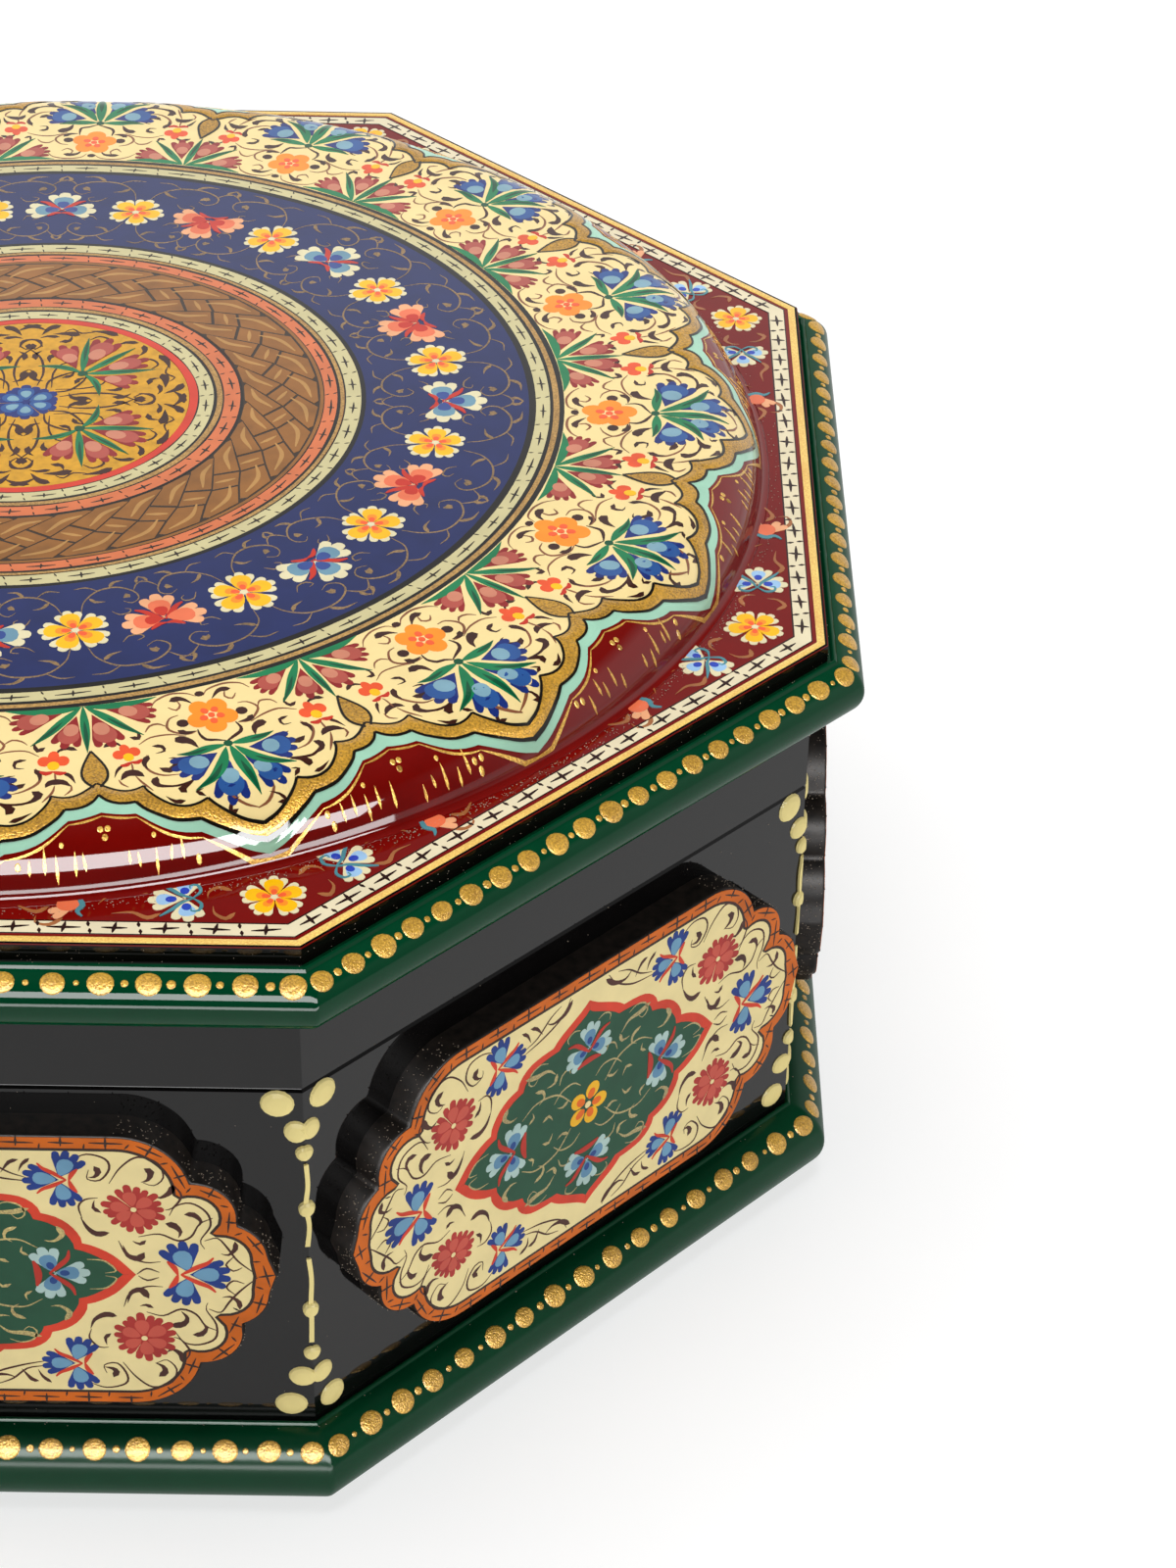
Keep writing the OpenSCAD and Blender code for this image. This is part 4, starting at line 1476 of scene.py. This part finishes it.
# Scrolls of one quarter of a plaque: kind, width and points from its middle
FIELD_SCROLLS = (
    ("comma", 0.7, ((2.6, 17.0), (4.0, 15.6), (5.6, 15.4), (6.6, 16.0))),
    ("vine", 0.26, ((2.9, 17.3), (4.2, 15.4), (7.0, 14.0), (10.2, 13.4))),
    ("vine", 0.24, ((4.4, 17.0), (6.2, 16.2), (8.0, 14.6), (10.0, 13.9))),
    ("comma", 0.5, ((9.2, 16.4), (8.2, 16.0), (7.4, 14.6))),
    ("comma", 0.45, ((10.6, 16.6), (9.6, 15.8), (9.2, 14.6))),
    ("vine", 0.26, ((14.6, 16.4), (16.6, 17.3), (18.5, 16.8), (18.9, 15.2),
                    (17.8, 13.6), (16.5, 13.9), (16.5, 15.0))),
    ("comma", 0.75, ((17.2, 15.6), (17.7, 14.9), (17.2, 14.2), (16.5, 14.1))),
    ("vine", 0.26, ((18.6, 13.3), (19.8, 15.6), (21.7, 17.0), (23.8, 16.2),
                    (24.4, 14.2), (23.3, 12.9), (22.2, 13.5))),
    ("comma", 0.8, ((22.4, 15.4), (23.1, 14.8), (22.8, 13.8), (21.9, 13.3))),
    ("comma", 0.75, ((25.2, 13.2), (24.9, 12.0), (24.0, 11.4), (23.2, 11.7))),
    ("vine", 0.26, ((25.2, 13.2), (26.0, 11.6), (25.2, 9.8), (24.3, 9.4))),
    ("comma", 0.75, ((18.3, 6.2), (17.0, 5.9), (15.9, 6.8), (15.3, 8.2))),
    ("vine", 0.24, ((15.3, 8.2), (15.2, 9.8), (16.0, 11.0), (17.2, 11.0))),
    ("comma", 0.5, ((17.6, 8.9), (16.8, 9.6), (16.8, 10.7))),
    ("vine", 0.24, ((19.2, 4.9), (20.0, 2.9), (21.8, 1.7), (23.4, 1.9))),
    ("comma", 0.85, ((21.9, 3.4), (21.0, 2.4), (20.1, 2.9), (19.5, 4.2))),
    ("comma", 0.5, ((22.2, 5.0), (21.4, 4.4), (20.7, 4.8))),
    ("vine", 0.26, ((21.4, 5.6), (23.4, 6.0), (25.4, 5.2), (26.9, 5.8), (27.9, 7.6), (29.2, 8.4))),
    ("comma", 0.85, ((24.1, 7.6), (25.3, 7.3), (25.9, 6.3), (25.4, 5.4))),
    ("comma", 0.7, ((26.4, 8.8), (27.4, 8.8), (27.9, 7.9), (27.5, 7.0))),
    ("vine", 0.26, ((24.6, 8.6), (25.4, 10.2), (27.1, 10.4), (28.7, 9.4),
                    (29.0, 7.2), (27.9, 5.2), (28.2, 4.0))),
    ("vine", 0.26, ((28.2, 5.0), (29.6, 5.4), (30.6, 4.0), (31.8, 2.2), (33.6, 0.3))),
    ("comma", 0.6, ((31.5, 5.0), (31.6, 3.9), (30.8, 3.2), (29.9, 3.3))),
    ("vine", 0.24, ((31.2, 2.7), (30.4, 1.7), (31.2, 0.8), (32.3, 1.2))),
    ("vine", 0.24, ((20.9, 0.2), (22.0, 0.9), (23.2, 0.3))),
)
GREEN_SCROLLS = (
    ("vine", 0.26, ((2.7, 2.0), (5.0, 4.4), (8.2, 5.0), (10.4, 3.8))),
    ("comma", 0.7, ((9.9, 9.5), (8.2, 9.0), (6.4, 8.8), (5.2, 7.6))),
    ("comma", 0.65, ((12.6, 7.0), (13.2, 5.8), (12.2, 4.8), (11.2, 4.9))),
    ("comma", 0.5, ((5.0, 7.6), (5.4, 6.4), (6.6, 6.4))),
    ("comma", 0.5, ((8.4, 6.8), (7.2, 6.2), (7.0, 5.2), (7.8, 4.6))),
    ("vine", 0.24, ((1.2, 3.6), (2.4, 4.6), (4.2, 4.4), (5.4, 3.2))),
    ("comma", 0.45, ((3.0, 2.6), (4.0, 2.0), (4.9, 2.4))),
    ("vine", 0.22, ((1.4, 11.8), (2.4, 12.2), (3.4, 11.6), (3.2, 10.8))),
    ("vine", 0.22, ((15.6, 2.2), (17.4, 2.0), (18.6, 0.6), (17.4, 0.2))),
    ("comma", 0.45, ((7.2, 1.6), (6.2, 2.0), (5.6, 1.0))),
    ("vine", 0.22, ((6.4, 9.9), (7.6, 10.4), (9.0, 9.9), (9.4, 8.6), (8.6, 8.0), (8.0, 8.6))),
    ("comma", 0.4, ((9.4, 2.6), (8.6, 3.2), (8.8, 4.0))),
    ("vine", 0.22, ((4.6, 5.6), (4.2, 6.8), (3.2, 7.2), (2.9, 6.4))),
)


def paint_plaque_crosses(face):
    """A cross and a half divider at each pitch of the rust border."""
    lane = plaque_outline(BORDER_W / 2)
    lane = resampled(np.vstack((lane, lane[:1])), LANE_STEPS)
    pitch = np.hypot(*np.diff(lane, axis=0).T).sum() / BORDER_CROSSES
    for i in range(BORDER_CROSSES):
        at = LANE_STEPS * i // BORDER_CROSSES
        ahead = lane[(at + 2) % (LANE_STEPS - 1)] - lane[at]
        mark = within(face, *lane[at], degrees(atan2(ahead[1], ahead[0])))
        reach = pitch * hand.uniform(0.26, 0.4)
        plaque_lines.stroke(mark, [(-reach, 0.05), (reach, -0.05)], 0.26, step=1.0)
        tall = hand.choice((0.3, 0.5, 0.9))
        plaque_lines.stroke(mark, [(0, -0.9), (0.06, tall)], 0.3, step=0.8)
        split = within(mark, pitch / 2, 0)
        plaque_lines.stroke(split, [(-0.1, 0.1), (0.06, 0.95)], 0.24, step=0.8)


def paint_plaque(side):
    face = upright(side, PLAQUE_REACH, PLAQUE_MID)
    field = plaque_outline(BORDER_W)
    rust.curved_shape(face, plaque_outline(0.26), pitch=4.0)
    plaque_cream.curved_shape(face, field, pitch=4.0)
    plaque_lines.stroke(face, np.vstack((field, field[:1])), 0.36, "even", raw=True)
    paint_plaque_crosses(face)
    plaque_red.shape(face, cusped_outline())
    plaque_green.shape(face, cusped_outline(0.85))
    for i in range(5):
        petal = by_hand(within(face, 0, 0, 72 * i - 22), 0.05, 3, 0.05)
        plaque_yellow.shape(petal, oval(0, 1.95, 2.1, 2.3, 14))
        plaque_orange.shape(petal, oval(0, 1.45, 1.1, 1.5, 12))
    plaque_cream.shape(face, oval(0, 0, 0.95, 0.95, 12), 0.15)
    for x, y, turn in ((0, 8.1, 0), (0, -8.1, 180), (-11.8, 0, 90), (11.8, 0, -90)):
        paint_pale_flower(within(face, x, y, turn))
    for end in halves(face):
        paint_blue_sprig(within(end, 26.2, 0, -90), 1.12)
        for quarter in (end, within(end, 0, 0, 180, mirror=True)):
            paint_blue_sprig(within(quarter, 13.6, 13.6, 90), 0.95)
            paint_crimson_rosette(within(quarter, 21.0, 9.5))
            paint_scrolls(plaque_vines, quarter, FIELD_SCROLLS, 0.15)
            paint_scrolls(plaque_gold, quarter, GREEN_SCROLLS)


# Raised cream dots down each corner of the walls

corner_dots = rgb_paint("wall_corner_dots", "base", "plaque_cream", 240, 222, 150, 0.12, 0.03, coat=0.15)
CORNER_BLEND = 0.6


def around_corner(side):
    """The wall's corner laid flat: x is 0 at the corner, y is the height."""
    one = upright(side, WALL_REACH, 0)
    two = upright(side % SIDES + 1, WALL_REACH, 0)
    half = WALL_REACH * tan(HALF_SIDE)

    def put(points, lift):
        before = one(points + (half, 0), lift)
        after = two(points - (half, 0), lift)
        share = np.clip(points[:, 0] / CORNER_BLEND + 0.5, 0, 1)[:, None]
        return before * (1 - share) + after * share
    return put


def paint_wall_corner(side):
    """Pairs of dots at the top and the foot of a wall corner, and two beaded bars between them."""
    corner = around_corner(side)
    low = BASE_TOP
    high = WALL_TOP

    def dot(x, y, width, height, rise=0.5):
        corner_dots.dome(corner, x, y, width * hand.uniform(0.94, 1.06), height * hand.uniform(0.94, 1.06),
                         rise, slip(12), 16, 3)

    for x in (-1, 1):
        dot(2.7 * x, high - 13.5, 3.5, 3.7)
        dot(0.85 * x, high - 17.4, 2.7, 2.9)
        dot(2.6 * x, low + 2.85, 3.6, 3.4)
        dot(1.2 * x, low + 7.2, 3.1, 2.8)
    dot(0, high - 20.4, 2.1, 2.2, 0.6)
    dot(0, low + 10.9, 2.1, 2.1, 0.6)
    for start, end, bead in ((48.6, 36.8, 42.2), (34.9, 22.3, 27.2)):
        bar = [(slip(0.15), start + (end - start) * i / 4) for i in range(5)]
        corner_dots.stroke(corner, bar, 0.42, "even", step=0.8, lift=0.3)
        dot(0, bead, 1.9, 2.3, 0.7)


# Dust that has settled on the ledges, the walls and the plaques' sides

DUST = pigment("dust", srgb(168, 154, 138), spread=0.2, coat=0.0, roughness=0.9)
lid_dust = Paint("lid_dust", *LID_RED, DUST)
base_dust = Paint("base_dust", "base", "black_lacquer", DUST)
RIM_LEDGE = 96.2
BASE_LEDGE = 94.9
WALL_SKIN = WALL_REACH + 0.02


def settle(paint, side, reach, height, spread_out, spread_up, count, size=0.07):
    """Specks along one side, around the given reach and height."""
    face = upright(side, 0, 0)
    for i in range(count):
        away = reach + slip(spread_out)
        half = away * tan(HALF_SIDE)
        spot = np.array([(slip(half), height + slip(spread_up))])
        paint.speck(face(spot, away)[0], size * hand.uniform(0.5, 1.4))


def ring_speck(angle, away, lift, size):
    lid_dust.speck((away * cos(angle), away * sin(angle), PLATEAU_TOP + lift), size)


def paint_dust():
    edge = plaque_outline(0.0, 160)
    for side in range(1, SIDES + 1):
        settle(lid_dust, side, RIM_LEDGE, RIM_TOP + 0.02, 0.55, 0.0, 60)
        settle(lid_dust, side, PLATEAU_REACH + 0.03, RIM_TOP + 0.9, 0.0, 0.8, 80, 0.06)
        settle(base_dust, side, BASE_LEDGE, BASE_TOP + 0.02, 0.6, 0.0, 40)
        settle(base_dust, side, WALL_SKIN, 56.0, 0.0, 2.8, 14, 0.06)
        settle(base_dust, side, WALL_SKIN, 30.0, 0.0, 22.0, 30, 0.05)
        face = upright(side, 0, PLAQUE_MID)
        for i in range(620):
            x, y = edge[hand.randrange(len(edge))]
            if y > 0 or abs(x) > PLAQUE_HALF_L * 0.6:
                spot = np.array([(x + slip(0.1), y)])
                away = WALL_REACH + 3.3 * hand.random() ** 0.7
                base_dust.speck(face(spot, away)[0], hand.uniform(0.04, 0.1))
    for i in range(1300):
        angle = radians(hand.gauss(-52, 24))
        away = DISC_REACH + 0.1 + hand.expovariate(0.45)
        if away < CREAM_BAND[0]:
            ring_speck(angle, away, 0.05, hand.uniform(0.04, 0.1))
    for i in range(700):
        angle = hand.uniform(0, 2 * pi)
        away = DISC_REACH + 0.9 + hand.gauss(0, 0.55)
        if away > DISC_REACH + 0.05:
            ring_speck(angle, away, 0.02, hand.uniform(0.03, 0.08))


add_camera()
add_studio()
add_floor()
finish_frame()
add_board_skin("rim_board_skin", RIM_REACH, RIM_T, RIM_TOP, "lid", "rim_board")
add_board_skin("base_board_skin", BASE_REACH, BASE_TOP, BASE_TOP, "base", "base_board")
add_disc_skin()
paint_beads()
paint_inside()
paint_rings()
paint_ring_stitches()
paint_weave()
paint_border()
paint_navy_band()
paint_medallion()
for number in range(LOBES):
    paint_lobe(number)
paint_plateau_bands()
paint_plateau_corners()
paint_edge_dots(rim_dots, RIM_REACH, RIM_T, RIM_TOP, (19, 18, 20, 19, 18, 19, 17, 20), 2.7, 31)
paint_edge_dots(base_dots, BASE_REACH, BASE_TOP, BASE_TOP, (17, 17, 18, 16, 17, 18, 17, 17), 2.8, 42)
for number in range(1, SIDES + 1):
    add_plaque_skin(number)
    paint_plaque(number)
    paint_wall_corner(number)
paint_dust()

for paint in Paint.made:
    if paint.points:
        paint.build()
